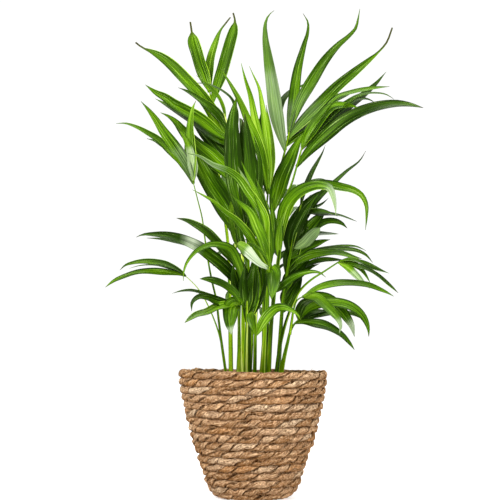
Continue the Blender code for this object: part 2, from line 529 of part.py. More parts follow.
def basketProfile():
    """Inside from the middle of the floor up, over the rim, down the rope rows, under to the middle."""
    inside = [(0.0, basketFloor), (floorRadius, basketFloor)]
    inside += [(innerRadius(z), z) for z in bendHeights + (rimFoot,)]
    rim = [(innerRadius(0.165) + 0.0012, 0.1675), (outerRadius(0.170) - 0.0045, basketHeight),
           (outerRadius(0.168) - 0.0015, 0.1688)]
    rows = []
    count = int(basketHeight / rowPitch)
    for k in range(count - 1):
        crest = basketHeight - (k + 0.5) * rowPitch
        valley = basketHeight - (k + 1) * rowPitch
        rows.append((outerRadius(crest), crest))
        rows.append((outerRadius(valley) - rowGroove, valley))
    foot = [(outerRadius(0.0072), 0.0072), (0.0515, 0.0015), (0.0480, 0.0), (0.0, 0.0)]
    return inside + rim + rows + foot


def linerProfile():
    """A thin cup that follows the basket's inside."""
    heights = bendHeights + (linerTop,)
    shift = linerGap + linerWall
    floor = basketFloor + seatGap
    inside = [(0.0, floor + linerWall), (floorRadius - shift, floor + linerWall)]
    inside += [(innerRadius(z) - shift, z) for z in heights]
    outside = [(innerRadius(z) - linerGap, z) for z in reversed(heights)]
    outside += [(floorRadius - linerGap, floor), (0.0, floor)]
    return inside + outside


def potRadius(height):
    """Outer radius of the grow pot at a height."""
    share = (height - potFloor) / (potTop - potFloor)
    return potBaseRadius + (potRimRadius - potBaseRadius) * share


def potProfile():
    """A tapered cup with a lip."""
    inner = potFloor + potBottom
    lipFoot = potTop - potLipHeight
    return [(0.0, inner), (potRadius(inner) - potWall, inner), (potRadius(potTop) - potWall, potTop),
            (potRadius(potTop) + potLip, potTop), (potRadius(lipFoot) + potLip, lipFoot),
            (potRadius(lipFoot), lipFoot), (potBaseRadius, potFloor), (0.0, potFloor)]


def soilProfile():
    """A tapered plug with a slightly domed top, from top to bottom."""
    bottom = potFloor + potBottom + seatGap
    edge = soilTop - soilDome
    return [(0.0, soilTop + 0.0005), (0.035, soilTop), (0.060, soilTop - 0.001),
            (potRadius(edge) - potWall - linerGap, edge),
            (potRadius(bottom) - potWall - linerGap, bottom), (0.0, bottom)]


def fromGrid(columns, rows, depths):
    """Points of the front elevation placed along their sight lines at their depths."""
    tilt = math.atan((horizonRow - middleColumn) / sightSteps)
    along = eyeDistance + depths
    rise = along * np.tan(tilt + np.arctan((middleRow - rows) / sightSteps))
    reach = math.cos(tilt) * along + math.sin(tilt) * rise
    side = (columns - middleColumn) / sightSteps * reach
    return np.stack([eyeSide + side, depths, eyeHeight + rise], axis=-1)


def through(points, shares):
    """A smooth line through the points, read at shares of its drawn length."""
    p = np.array(points, float)
    s = np.concatenate([[0.0], np.cumsum(np.linalg.norm(np.diff(p[:, :2], axis=0), axis=1))])
    slope = np.gradient(p, s, axis=0) if len(p) > 2 else np.repeat([(p[1] - p[0]) / s[1]], 2, axis=0)
    at = np.clip(shares, 0.0, 1.0) * s[-1]
    i = np.clip(np.searchsorted(s, at, side="right") - 1, 0, len(s) - 2)
    h = (s[i + 1] - s[i])[:, None]
    u = (at - s[i])[:, None] / h
    return ((2 * u**3 - 3 * u**2 + 1) * p[i] + (u**3 - 2 * u**2 + u) * h * slope[i]
            + (3 * u**2 - 2 * u**3) * p[i + 1] + (u**3 - u**2) * h * slope[i + 1])


def layerDepth(shoot, rows):
    """Depth in metres of a leafy stem's own layer at a row."""
    height = np.maximum((rimRow - rows) * stepSize, 0.0)
    return shoot["foot"] / 1000 + shoot["lean"] * height


def stemLine(shoot, stem, count, rooted):
    """Middle line of a stem, with its upright foot in the soil where it has one."""
    drawn = [(p[0], p[1], p[2] if len(p) > 2 else 0.0) for p in stem]
    q = through(drawn, np.linspace(0.0, 1.0, count))
    line = fromGrid(q[:, 0], q[:, 1], layerDepth(shoot, q[:, 1]) + q[:, 2] / 1000)
    if not rooted:
        return line
    top = line[0]
    return np.vstack([[top[0], top[1], stemFoot], [top[0], top[1], soilTop + 0.004], line])


def tube(line, radii, sides):
    """A closed tube along a line, with pointed ends capped flat."""
    tangent = np.gradient(line, axis=0)
    tangent /= np.linalg.norm(tangent, axis=1)[:, None]
    across = np.array([1.0, 0.0, 0.0]) - tangent * tangent[:, :1]
    across /= np.linalg.norm(across, axis=1)[:, None]
    other = np.cross(tangent, across)
    turn = np.arange(sides) * 2 * math.pi / sides
    ring = (across[:, None] * np.cos(turn)[None, :, None] + other[:, None] * np.sin(turn)[None, :, None])
    points = (line[:, None] + ring * radii[:, None, None]).reshape(-1, 3)
    faces = []
    last = (len(line) - 1) * sides
    for k in range(len(line) - 1):
        for j in range(sides):
            a = k * sides + j
            b = k * sides + (j + 1) % sides
            faces.append((a, b, b + sides, a + sides))
    faces.append(tuple(range(sides - 1, -1, -1)))
    faces.append(tuple(last + j for j in range(sides)))
    return points, faces


def nearestShare(drawn, column, row):
    """Share along a drawn stem, and its added depth, nearest to a grid point."""
    shares = np.linspace(0.0, 1.0, 161)
    q = through(drawn, shares)
    k = int(np.argmin((q[:, 0] - column) ** 2 + (q[:, 1] - row) ** 2))
    return q[k], (q[k, 0] - column) ** 2 + (q[k, 1] - row) ** 2


def bladeLine(shoot, blade, shares):
    """Middle line of a leaf: its root is moved onto the nearest stem."""
    drawn = list(blade[0])
    found = []
    for stem in shoot["stems"]:
        full = [(p[0], p[1], p[2] if len(p) > 2 else 0.0) for p in stem]
        found.append(nearestShare(full, *drawn[0]))
    root = min(found, key=lambda pair: pair[1])[0]
    drawn[0] = (float(root[0]), float(root[1]))
    q = through(drawn, shares)
    added = root[2] / 1000 + blade[1] / 1000 * shares**1.5
    return fromGrid(q[:, 0], q[:, 1], layerDepth(shoot, q[:, 1]) + added)


def bladeWidth(blade, shares):
    """Width of a leaf along its length: narrow root, widest before the middle, pointed tip."""
    blunt = blade[6] if len(blade) > 6 else 2.6
    t = np.minimum(shares / (blade[7] if len(blade) > 7 else 1.0), 1.0)
    rise = rootWidthShare + (1 - rootWidthShare) * np.sin(np.minimum(t / widestAt, 1.0) * math.pi / 2)
    return blade[2] / 1000 * rise * (1 - t**blunt) ** 1.1


def bladeAxes(shoot, blade, line, shares):
    """Directions along, across and out of the upper face."""
    along = np.gradient(line, axis=0)
    along /= np.linalg.norm(along, axis=1)[:, None]
    if shoot.get("upright"):
        reach = (line[-1] - line[0]) / np.linalg.norm(line[-1] - line[0])
        facing = np.array([-inwardLean * reach[0], -inwardLean * reach[1], 1.0])
        normal = facing - along * (along @ facing)[:, None]
        normal /= np.linalg.norm(normal, axis=1)[:, None]
        return along, np.cross(along, normal), normal
    heading = 1.0 if blade[0][-1][0] > blade[0][0][0] else -1.0
    side = np.stack([along[:, 2], np.zeros(len(along)), -along[:, 0]], axis=1)
    side /= np.maximum(np.linalg.norm(side, axis=1), 1e-9)[:, None]
    front = np.cross(side, along)
    turn = np.radians(blade[3] + (blade[4] - blade[3]) * shares)[:, None]
    normal = front * np.cos(turn) - heading * side * np.sin(turn)
    return along, np.cross(along, normal), normal


def leaf(shoot, blade):
    """A closed folded blade with four corners to a section and a pointed tip."""
    sections = min(max(len(blade[0]) - 1, 4), 6)
    shares = np.linspace(0.0, 1.0, sections + 1)[:-1]
    shares = np.append(shares, 0.985)
    line = bladeLine(shoot, blade, shares)
    along, across, normal = bladeAxes(shoot, blade, line, shares)
    half = np.maximum(bladeWidth(blade, shares) / 2, 0.0008)[:, None]
    deep = (bladeThickness / 2 * (1 - 0.35 * shares))[:, None]
    fold = half * 2 * bladeFold
    ring = np.stack([line + across * half + normal * fold, line + normal * deep,
                     line - across * half + normal * fold, line - normal * deep], axis=1)
    points = ring.reshape(-1, 3)
    faces = []
    for k in range(len(shares) - 1):
        for j in range(4):
            a = 4 * k + j
            b = 4 * k + (j + 1) % 4
            faces.append((a, b, b + 4, a + 4))
    last = 4 * (len(shares) - 1)
    faces.append((3, 2, 1, 0))
    faces.append((last, last + 1, last + 2, last + 3))
    return points, faces


def outward(points, faces):
    """The same faces, turned to look outwards where their volume is negative."""
    volume = 0.0
    for face in faces:
        for k in range(1, len(face) - 1):
            a, b, c = (Vector(points[face[i]]) for i in (0, k, k + 1))
            volume += a.dot(b.cross(c))
    return faces if volume > 0 else [tuple(reversed(face)) for face in faces]


def stemRadii(shoot, count, rooted):
    """Radius along a stem, even in the soil and thinning upwards."""
    radius = shoot["thick"] / 1000
    upper = radius * (1 - (1 - stemTopShare) * np.linspace(0.0, 1.0, count) ** 1.2)
    return np.concatenate([[radius, radius], upper]) if rooted else upper * 0.72


def applied(obj):
    """The object's mesh with its modifiers applied."""
    graph = bpy.context.evaluated_depsgraph_get()
    mesh = bpy.data.meshes.new_from_object(obj.evaluated_get(graph))
    obj.modifiers.clear()
    old = obj.data
    obj.data = mesh
    bpy.data.meshes.remove(old)


def keepOuterSkin(obj):
    """Keeps the largest connected skin: fills hollows sealed by the joining and drops loose scraps."""
    mesh = obj.data
    shell = bmesh.new()
    shell.from_mesh(mesh)
    shell.verts.ensure_lookup_table()
    unseen = set(shell.faces)
    skins = []
    while unseen:
        front = [unseen.pop()]
        skin = list(front)
        while front:
            near = {other for edge in front.pop().edges for other in edge.link_faces} & unseen
            unseen -= near
            front.extend(near)
            skin.extend(near)
        skins.append((skinVolume(skin), skin))
    skins.sort(key=lambda pair: pair[0])
    for volume, skin in skins[:-1]:
        if volume > scrapVolume:
            raise ValueError(f"{obj.name}: a piece of {volume * 1e9:.1f} mm3 isn't joined")
        bmesh.ops.delete(shell, geom=skin, context="FACES")
    bmesh.ops.triangulate(shell, faces=shell.faces)
    shell.to_mesh(mesh)
    shell.free()


def skinVolume(skin):
    """Signed volume inside a list of faces."""
    volume = 0.0
    for face in skin:
        corners = [vertex.co for vertex in face.verts]
        for k in range(1, len(corners) - 1):
            volume += corners[0].dot(corners[k].cross(corners[k + 1])) / 6
    return volume


def leafyStem(name, shoot, collection):
    """One leafy stem: its stems and leaves joined into one solid."""
    pieces = bpy.data.collections.new("pieces_" + name)
    bpy.context.scene.collection.children.link(pieces)
    node = None
    for number, stem in enumerate(shoot["stems"]):
        count = min(max(len(stem), 5), 7)
        line = stemLine(shoot, stem, count, number == 0)
        points, faces = tube(line, stemRadii(shoot, count, number == 0), stemSides)
        home = collection if number == 0 else pieces
        made = meshObject(name if number == 0 else f"{name}_branch", points, outward(points, faces), home)
        node = node or made
    for number, blade in enumerate(shoot["blades"]):
        points, faces = leaf(shoot, blade)
        meshObject(f"{name}_leaf_{number}", points, outward(points, faces), pieces)
    union = node.modifiers.new("Join", "BOOLEAN")
    union.operation = "UNION"
    union.operand_type = "COLLECTION"
    union.collection = pieces
    union.solver = "MANIFOLD" if shoot.get("manifold", True) else "EXACT"
    applied(node)
    keepOuterSkin(node)
    for piece in list(pieces.objects):
        bpy.data.objects.remove(piece)
    bpy.data.collections.remove(pieces)
    return node


def stemFeet():
    """Place and radius of each stem's foot in the soil."""
    feet = []
    for shoot in shoots.values():
        column, row = np.array(shoot["stems"][0][0][:2], float)
        place = fromGrid(column, row, shoot["foot"] / 1000)
        feet.append((place[0], place[1], shoot["thick"] / 1000))
    return feet


def drillSoil(soil, cutters):
    """Plain six-sided holes in the soil, one for each stem's foot."""
    for number, (x, y, radius) in enumerate(stemFeet()):
        line = np.array([[x, y, holeFloor], [x, y, soilTop + 0.02]])
        wide = radius + holeGap / math.cos(math.pi / stemSides)
        points, faces = tube(line, np.array([wide, wide]), stemSides)
        cutter = meshObject(f"hole_{number}", points, outward(points, faces), cutters)
        cutter.display_type = "WIRE"
        cutter.hide_render = True
    cut = soil.modifiers.new("Holes", "BOOLEAN")
    cut.operation = "DIFFERENCE"
    cut.operand_type = "COLLECTION"
    cut.collection = cutters
    cut.solver = "EXACT"


for startObject in list(bpy.data.objects):
    bpy.data.objects.remove(startObject)
scene = bpy.context.scene
scene.unit_settings.system = "METRIC"

partCollection = bpy.data.collections.new("areca_palm_in_basket")
scene.collection.children.link(partCollection)
cutterCollection = bpy.data.collections.new("cutters")
cutterCollection.hide_render = True
scene.collection.children.link(cutterCollection)

basket = turned("basket", basketProfile(), basketSides, partCollection)
basket.data.materials.append(principled("seagrass_rope", (0.42, 0.27, 0.13), 0.85))
liner = turned("liner", linerProfile(), basketSides, partCollection)
liner.data.materials.append(principled("clear_foil", (0.80, 0.82, 0.80), 0.25))
pot = turned("grow_pot", potProfile(), roundSides, partCollection)
pot.data.materials.append(principled("dark_plastic", (0.03, 0.03, 0.03), 0.5))
soil = turned("soil", soilProfile(), roundSides, partCollection)
soil.data.materials.append(principled("potting_soil", (0.05, 0.03, 0.02), 0.95))
drillSoil(soil, cutterCollection)

leafColours = {True: (0.04, 0.13, 0.02), False: (0.10, 0.24, 0.02)}
for shootName, shoot in shoots.items():
    node = leafyStem("leafy_stem_" + shootName, shoot, partCollection)
    colour = leafColours[shootName.startswith("back")]
    node.data.materials.clear()
    node.data.materials.append(principled(shootName + "_green", colour, 0.4))
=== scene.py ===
import math

import bpy
import numpy as np
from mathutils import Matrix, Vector


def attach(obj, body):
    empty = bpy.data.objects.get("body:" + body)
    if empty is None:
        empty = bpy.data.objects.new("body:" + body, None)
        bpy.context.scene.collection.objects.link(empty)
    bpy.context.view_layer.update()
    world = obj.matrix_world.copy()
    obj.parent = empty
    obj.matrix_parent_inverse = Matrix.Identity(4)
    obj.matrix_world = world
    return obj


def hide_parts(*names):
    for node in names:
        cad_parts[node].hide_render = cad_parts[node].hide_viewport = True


# Areca palm in a woven basket: rope rows, loose fibres, foil liner, grow pot, soil, stems and leaves.
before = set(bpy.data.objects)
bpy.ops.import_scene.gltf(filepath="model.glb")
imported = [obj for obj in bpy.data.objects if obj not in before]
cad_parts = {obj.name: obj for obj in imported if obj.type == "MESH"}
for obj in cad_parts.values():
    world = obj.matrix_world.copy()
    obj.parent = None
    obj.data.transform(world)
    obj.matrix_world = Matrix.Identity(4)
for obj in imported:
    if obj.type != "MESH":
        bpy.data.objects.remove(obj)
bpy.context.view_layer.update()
print("frame loaded:", len(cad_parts), "nodes")

# The front view is drawn on a grid of 500 by 500 steps, columns to the right and rows downwards.
sight = {
    "eyeSide": -0.004,  # metres
    "eyeDistance": 1.7,
    "eyeHeight": 0.205,
    "steps": 1258,  # grid steps to one unit of slope
    "horizonRow": 343,
    "middleColumn": 250,
    "middleRow": 249.5,
    "gridSize": 500,
    "rimRow": 370,
    "stepSize": 0.00135,  # metres at the rim
}
sightTilt = math.atan((sight["horizonRow"] - sight["middleColumn"]) / sight["steps"])

# Each leafy stem has the depth of its foot in mm (backwards is plus), its lean in mm back for
# each mm up, the radius of its stem in mm, its stems and its leaves. A stem is a list of
# columns and rows, with an added depth in mm at some. A leaf has its middle line from root to
# tip, its added depth at the tip in mm, its width in mm, its turn about its own line in
# degrees at root and tip, its lightness from 0 to 1, which holds its own green together with
# painted light and shade, and, if its end is blunt, a number over 3.
# A last number under 1 is the share of the length where a thread-like end takes over.
# The leaves of an upright stem turn their upper faces up and to the stem instead.
shoots = {
    "low_front": {
        "foot": -40, "lean": -0.45, "thick": 2.6,
        "stems": [
            [(254.5, 374), (255, 352), (255.8, 334)],
        ],
        "blades": [
            ([(255.8, 336), (254, 328), (252, 321), (251, 315), (251.5, 311)],
             -60, 12.5, 15, 15, 0.5, 12),
            ([(255.8, 335), (257.5, 332), (263, 321.6), (270, 313), (277, 307.8), (284, 307),
              (291, 309.5), (298, 314.6), (301, 320)], -33, 15, 20, 35, 0.55),
        ],
    },
    "low_left": {
        "foot": -34, "lean": -0.42, "thick": 2.6,
        "stems": [
            [(238, 374), (239, 345), (239.5, 320), (240.5, 302)],
        ],
        "blades": [
            ([(240, 306), (227, 302), (212, 296.5), (199.5, 292), (191, 290), (181, 290.5), (172, 293)],
             -42, 12.5, 55, 60, 0.15),
            ([(240, 307), (227.7, 304), (216, 300), (206, 296.5), (198, 297), (192.5, 302), (191.6, 311)],
             -75, 14.5, 40, 30, 0.15),
            ([(240, 307), (230, 304), (216, 307), (208, 311), (195.4, 315), (184.6, 322.4)],
             -117, 13, 42, 42, 0.55, 6),
            ([(240, 306), (235.5, 303.5), (231.5, 306), (230.3, 313), (230.3, 322), (231.4, 334)],
             -105, 20, 5, 5, 0.5, 3.2),
            ([(240.4, 303), (235.6, 293.5), (229, 288), (224.4, 285), (216, 281), (208, 279),
              (199.5, 278.4)], -60, 13.5, 38, 42, 0.3, 5),
        ],
    },
    "front_centre": {
        "foot": -26, "lean": -0.32, "thick": 3.4,
        "stems": [
            [(262, 374), (264.5, 335), (267, 300), (268.5, 280), (270, 266)],
        ],
        "blades": [
            ([(270, 267), (266, 250), (263, 240), (257, 226.5), (249.7, 211), (239.7, 202), (230, 193)],
             -27, 15.5, 5, 25, 0.52),
            ([(270, 268), (262, 258), (255, 245), (247, 232.6), (236, 220), (224, 211), (213, 201),
              (201.5, 194), (192, 189)], -60, 13.5, 30, 50, 0.52),
            ([(270, 268), (262, 264.5), (254, 257.5), (247.5, 251), (241.5, 246), (236.5, 243)],
             -80, 14, 10, 10, 0.66, 12),
            ([(270, 268), (272.5, 271), (273, 277), (272.4, 287), (271.4, 299)],
             -54, 20, 5, 5, 0.36, 2.6),
            ([(268, 292), (275, 290), (281, 286), (293, 277.5), (305, 272.5), (315, 271.5), (320, 272.5),
              (326, 277)], -51, 13.5, 35, 45, 0.35),
            ([(270, 266), (267, 250), (265, 235), (263.5, 217), (256.6, 203.6), (247, 190), (239.7, 179),
              (228, 170), (213, 164), (198, 155), (187, 153)], -15, 14, -25, -5, 0.46),
            ([(270, 265), (268, 240), (265.5, 216), (261.5, 196), (256, 178)], 16, 16, 15, 20, 0.25),
            ([(270, 266), (269, 245), (266, 228), (262.7, 215), (255, 199), (246, 182), (238, 166)],
             4, 17, 20, 40, 0.6),
            ([(270, 267), (264, 254), (256, 246), (249, 243), (244, 248), (242.5, 256)],
             -50, 4, 40, 30, 0.3),
            ([(270, 268), (269, 245), (266, 225), (261, 205), (254, 188), (247, 174), (241, 160)],
             -4, 14, 15, 25, 0.5),
        ],
    },
    "left_arch": {
        "foot": -22, "lean": -0.26, "thick": 3,
        "stems": [
            [(246, 374), (246.5, 345), (247, 320), (247, 292)],
        ],
        "blades": [
            ([(247, 296), (246, 280), (242.6, 269.6), (233.5, 259), (223.7, 250), (216, 241),
              (208, 232.4), (195.4, 224), (187, 220), (176, 217.5)], -6, 16.5, 35, 40, 0.12, 5),
            ([(247, 298), (244.7, 292), (239, 283.7), (232, 274.6), (221.6, 264), (211, 255.6),
              (199.5, 247), (189.6, 242), (179, 238), (166, 235), (154, 234), (141.5, 234.5),
              (135.7, 237)], -39, 20, 22, 45, 0.15, 3.5),
            ([(247, 299), (238, 285), (226, 270), (213, 259), (201, 251), (190, 245.5), (175, 241.5),
              (160, 238.5), (146, 237.5)], 2, 11, 58, 60, 0.1, 5),
            ([(247, 300), (243, 280), (238, 262), (230, 248), (220, 244.5), (212, 244), (203.6, 246.7),
              (195.4, 251.5), (189.6, 258), (186, 264), (183.7, 272), (183.3, 281)],
             -69, 13, 35, 30, 0.4),
            ([(247, 312), (247.5, 300), (249, 286), (252, 274), (254.5, 264)], -15, 14.5, 20, 20, 0.1),
            ([(247, 310), (244, 300), (243, 288), (243.5, 275), (245, 264)], -33, 14.5, 20, 20, 0.15),
            ([(247, 314), (252, 303), (257, 290), (260, 277), (261.5, 265)], -4, 13.5, 10, 20, 0.1),
            ([(247, 308), (240, 297), (235, 285), (233, 272), (233.5, 262)], -21, 14.5, 30, 30, 0.15),
            ([(247, 322), (250, 305), (253, 288), (254, 272), (253.5, 256)], -10, 20, 5, 5, 0.1, 4),
            ([(247, 320), (254, 304), (260, 288), (262.5, 273), (262, 258)], -2, 18, 10, 10, 0.08, 4),
        ],
    },
    "low_right": {
        "foot": -14, "lean": -0.24, "thick": 3.2,
        "stems": [
            [(281, 374), (283.5, 360), (287.6, 342), (290.7, 330), (294, 324), (299, 319)],
            [(290, 334), (292, 320), (294, 308), (297.5, 299.5), (303, 296)],
        ],
        "blades": [
            ([(294.5, 323), (303, 321.5), (314, 322.5), (326, 325.5), (335, 330), (343, 335.5),
              (349, 342), (354.6, 349.5)], -33, 14, 38, 42, 0.2, 4.5),
            ([(299, 319), (312, 315.5), (330, 312), (347, 312), (356.5, 315), (362.7, 319)],
             30, 12, 45, 45, 0.1, 4),
            ([(299, 319), (309, 308), (322, 302.5), (337, 302), (349, 305), (357, 310), (363.5, 317),
              (367, 324), (368.5, 330), (368.8, 336.5)], -45, 15, 28, 25, 0.4, 4),
            ([(298.5, 319), (300, 309), (303.5, 303), (312, 299.7), (322, 299)], 24, 15, 30, 45, 0.1),
            ([(299, 319), (304, 316), (314.4, 311), (329, 310)], 14, 11, 40, 60, 0.1),
            ([(302.5, 296), (311, 295.5), (320, 296.7), (329, 299.7), (338, 306.6), (346, 316),
              (351, 324), (354.6, 336.5)], -27, 17, 22, 28, 0.3, 4),
            ([(302, 296.5), (309, 295.7), (316.7, 297), (323, 302), (332, 311), (338, 319),
              (340.5, 326.5), (339.3, 333)], -72, 15, 20, 25, 0.6, 3),
            ([(302.5, 296.3), (306, 294.5), (314.4, 289.3), (326, 284.8), (337, 282.8), (349, 282.4),
              (360, 283.2), (370, 285), (379.5, 288.7), (387, 292), (394, 296)], 8, 13, 42, 48, 0.4, 5),
        ],
    },
    "centre": {
        "foot": -8, "lean": -0.17, "thick": 3.2,
        "stems": [
            [(249, 374), (249.2, 330), (249, 290), (248, 250), (246, 222)],
        ],
        "blades": [
            ([(246, 226), (239, 200), (234, 170), (232, 139), (233, 116), (236.5, 96)],
             -8, 25.5, 10, 15, 0.15, 4),
            ([(246.5, 230), (251, 200), (251, 172), (248, 143), (244.5, 113)], 4, 20, 15, 20, 0.1, 4),
            ([(247, 235), (256, 205), (260, 180), (259, 155), (254, 135)], -4, 13.5, 30, 30, 0.1),
            ([(248, 258), (240, 246), (232, 228), (231, 208), (235, 190)], 2, 12.5, 40, 40, 0.6),
            ([(248, 262), (243, 248), (239, 232), (238, 212)], -8, 13.5, 30, 30, 0.1),
            ([(247.5, 250), (252, 232), (256, 212), (258, 190)], -14, 13.5, 20, 20, 0.15),
            ([(249, 285), (255, 270), (258, 252), (257, 236)], -12, 13.5, 20, 20, 0.1),
            ([(249, 240), (247.5, 215), (245, 190), (242.5, 165), (241.5, 140), (243, 118)],
             12, 16, 15, 15, 0.08, 4),
        ],
    },
    "far_left": {
        "foot": -4, "lean": -0.1, "thick": 1.9,
        "stems": [
            [(226, 374), (221, 338.6), (218.6, 319), (216, 298), (212, 281), (208.4, 262), (204.6, 236.5),
             (202, 217), (198, 200.8), (193, 181)],
            [(225, 365), (218.6, 332), (212, 314), (207, 303), (199.5, 290), (191, 280.5),
             (185.4, 275.5)],
        ],
        "blades": [
            ([(193.5, 183), (187, 167), (179, 153.5), (171, 141.5), (163.5, 131), (156, 119.5),
              (149, 110), (140.7, 100.5)], -14, 18, 10, 20, 0.4),
            ([(193, 181), (191, 160), (190, 140), (190.5, 120), (193, 107), (196, 100)],
             24, 16, 10, 20, 0.5),
            ([(193.5, 182), (180, 162), (168, 149), (158, 139), (148, 133), (135.7, 126.4), (125.8, 123),
              (115.5, 123)], -34, 11, 45, 45, 0.34, 5),
            ([(193.5, 182), (181, 163), (171, 152), (161, 144.6), (155, 140.5), (146.5, 138)],
             14, 10, 45, 50, 0.2, 4),
            ([(193, 181), (193, 169.5), (189.6, 150), (184, 136), (178, 128)], 0, 15, 24, 34, 0.62),
            ([(186, 276), (182.5, 272.5), (174.6, 267.5), (166, 264), (154, 261.6), (141.5, 261),
              (133, 262.3), (125, 265), (119.5, 270)], 20, 11.5, 50, 50, 0.25, 5),
            ([(186, 276), (180, 274), (174.6, 273), (162, 271.4), (150, 271), (137, 272), (125, 275.5),
              (115, 279.7), (105, 287)], -26, 12, 42, 50, 0.4, 5),
            ([(186, 276), (182, 273), (174, 269), (164, 266), (150, 264.5), (138, 265.5), (129, 268)],
             -4, 9, 65, 70, 0.2),
        ],
    },
    "right_arch": {
        "foot": 0, "lean": -0.06, "thick": 3,
        "stems": [
            [(268.6, 374), (270.4, 335), (273.6, 300), (278, 265), (281, 242), (284.5, 217), (287, 196),
             (292.5, 180.6), (297, 165), (302, 147)],
        ],
        "blades": [
            ([(297, 167), (308, 152), (326, 134.5), (345, 119.5), (363, 110.5), (383, 105),
              (399.6, 103.4), (411, 104.5), (424, 107.5)], -30, 20, 15, 45, 0.12, 6),
            ([(302, 148), (320, 130), (338, 115), (351, 104), (364, 93.5), (376, 83), (386.5, 71)],
             34, 16, 25, 35, 0.12, 3),
            ([(302, 148), (315, 124), (326, 107), (338, 96), (352, 91.5), (366, 88.5), (378, 87),
              (390, 86)], 6, 11, 42, 45, 0.35, 5),
            ([(301.5, 149), (322, 125), (345, 103), (361, 94), (374, 92.5), (386, 94), (394.5, 99)],
             -12, 10, 55, 50, 0.1, 5),
            ([(301.5, 150), (324, 128), (344, 109), (356, 99.5), (366, 98.3), (373, 101), (377.5, 105)],
             18, 11, 48, 45, 0.1, 4),
            ([(281, 242), (282, 223), (286.6, 206), (295, 194.5), (307, 187), (320, 184.5), (329, 187),
              (333, 195.5), (335, 205), (336, 216)], -42, 21, 18, 25, 0.42, 2.4),
            ([(285, 212), (292, 199), (303, 189.5), (317, 184.5), (331, 184.5), (341, 186.5),
              (353, 189.5), (361.5, 195), (366, 204), (366.5, 216), (365.4, 230)],
             -20, 16, 30, 32, 0.32, 2.6),
            ([(279, 258), (279, 240), (281, 222), (286, 208)], -30, 11, 30, 30, 0.6),
            ([(302, 147), (308, 135), (320, 118), (333, 106), (346, 104.5), (361, 108)],
             -8, 20, 20, 40, 0.32),
        ],
    },
    "upper_left": {
        "foot": 4, "lean": 0, "thick": 3,
        "stems": [
            [(243, 374), (243, 300), (242.5, 260), (241.5, 225), (240, 190), (236, 160), (231, 135),
             (224, 113)],
        ],
        "blades": [
            ([(236, 160), (228, 143), (219, 125), (211, 109), (203, 97.5), (191, 84.5), (180.5, 73.5),
              (170, 63), (160, 55.5), (150, 50.3), (143, 47.5), (135, 41.5)],
             30, 17.5, 10, 15, 0.44, 7, 0.94),
            ([(232, 140), (223, 136), (214.5, 130), (206, 123), (198, 117), (185.5, 110), (173, 103),
              (165, 97), (155, 91.6), (145, 84)], -16, 18, 15, 25, 0.38, 4),
            ([(233, 146), (222, 141), (208, 131), (196, 122), (182, 113), (168, 105), (155, 98)],
             18, 17, 25, 40, 0.3, 3.5),
            ([(229, 130), (225, 124), (218.7, 115), (210, 106.5), (202, 100.7), (194, 95), (185.5, 90),
              (178, 87)], 6, 14.5, 15, 35, 0.2),
            ([(240, 188), (228, 172), (217, 162), (208, 154), (199, 147), (190, 138.5), (182, 129.5),
              (175, 121), (167, 115), (160, 112)], -28, 24.5, 5, 20, 0.42),
            ([(236, 162), (226, 154), (214, 141), (203, 129), (194, 117), (190, 111)],
             20, 22, 12, 15, 0.08, 5),
            ([(242, 240), (234, 223), (223.5, 204), (210.5, 184), (201.5, 168), (194, 151), (190, 143)],
             -22, 27, 5, 15, 0.42, 5),
            ([(242, 245), (235, 231), (226, 217), (216, 204), (207, 194)], 10, 13.5, 20, 30, 0.15),
            ([(233, 146), (236, 125), (236, 110), (231, 98), (223, 91), (214, 86), (204, 83),
              (193, 82.5)], 9, 10, 58, 60, 0.1, 4),
            ([(225, 117), (222, 104), (215, 92), (206, 83), (195.7, 74.6)], -12, 10, 50, 55, 0.4),
            ([(241.5, 232), (233, 212), (224, 195), (214, 177), (205, 161), (200, 150)],
             -7, 23, 10, 20, 0.35),
        ],
    },
    "spear": {
        "foot": 12, "lean": 0.03, "thick": 3.2,
        "stems": [
            [(249.2, 374), (254, 300), (260, 250), (266, 210), (268.5, 188)],
        ],
        "blades": [
            ([(268.5, 190), (267, 178), (264.5, 160), (259, 138), (254, 115), (250.5, 96), (245, 78),
              (241, 62)], 4, 13, 10, 20, 0.72),
            ([(268.5, 190), (269.5, 170), (268, 150), (265, 125), (262, 104), (258.5, 86), (253, 74),
              (249, 65)], 14, 11.5, 20, 30, 0.7),
            ([(268, 192), (266.5, 180), (263.5, 163), (256, 139), (248, 120), (239.7, 100.6), (231, 85),
              (220.5, 67.6)], -6, 15, 20, 30, 0.5, 3),
            ([(268.5, 189), (271, 165), (270.5, 140), (268.5, 120), (266, 104)], 24, 12, 25, 25, 0.5),
            ([(267.8, 194), (265, 172), (263, 150), (262.5, 128), (263.5, 105)], 34, 18, 10, 10, 0.1, 5),
        ],
    },
    "right_whip": {
        "foot": 14, "lean": 0.1, "thick": 2.8,
        "stems": [
            [(276, 374), (281, 340), (287, 318), (293, 303), (299, 291.5), (304, 285.5), (311.5, 279),
             (324, 271), (340, 260.5)],
        ],
        "blades": [
            ([(338, 261.5), (347, 266.5), (356.5, 275), (364, 283), (369.8, 288.2)],
             -26, 10.5, 20, 25, 0.62, 3),
            ([(339, 261), (351, 262.5), (359, 267), (366, 275), (370.5, 283)], 10, 10.5, 30, 40, 0.5),
            ([(339, 261), (351, 263), (365.4, 268), (378, 275), (388.6, 283.6), (398.5, 292.7)],
             -6, 10.5, 54, 52, 0.12, 5),
            ([(339, 261), (350, 259), (361, 261.5), (373.6, 267), (389.4, 273)],
             30, 10.5, 54, 52, 0.12, 5),
        ],
    },
    "top_right": {
        "foot": 16, "lean": 0.14, "thick": 3.6,
        "stems": [
            [(266, 374), (266.5, 330), (267.5, 290), (269, 250), (271.5, 215), (275, 190), (279, 173),
             (283, 158), (286.5, 144), (289, 132)],
        ],
        "blades": [
            ([(285, 150), (281.5, 137), (276, 112), (272.5, 88), (267.8, 56), (265.2, 35), (265.6, 22),
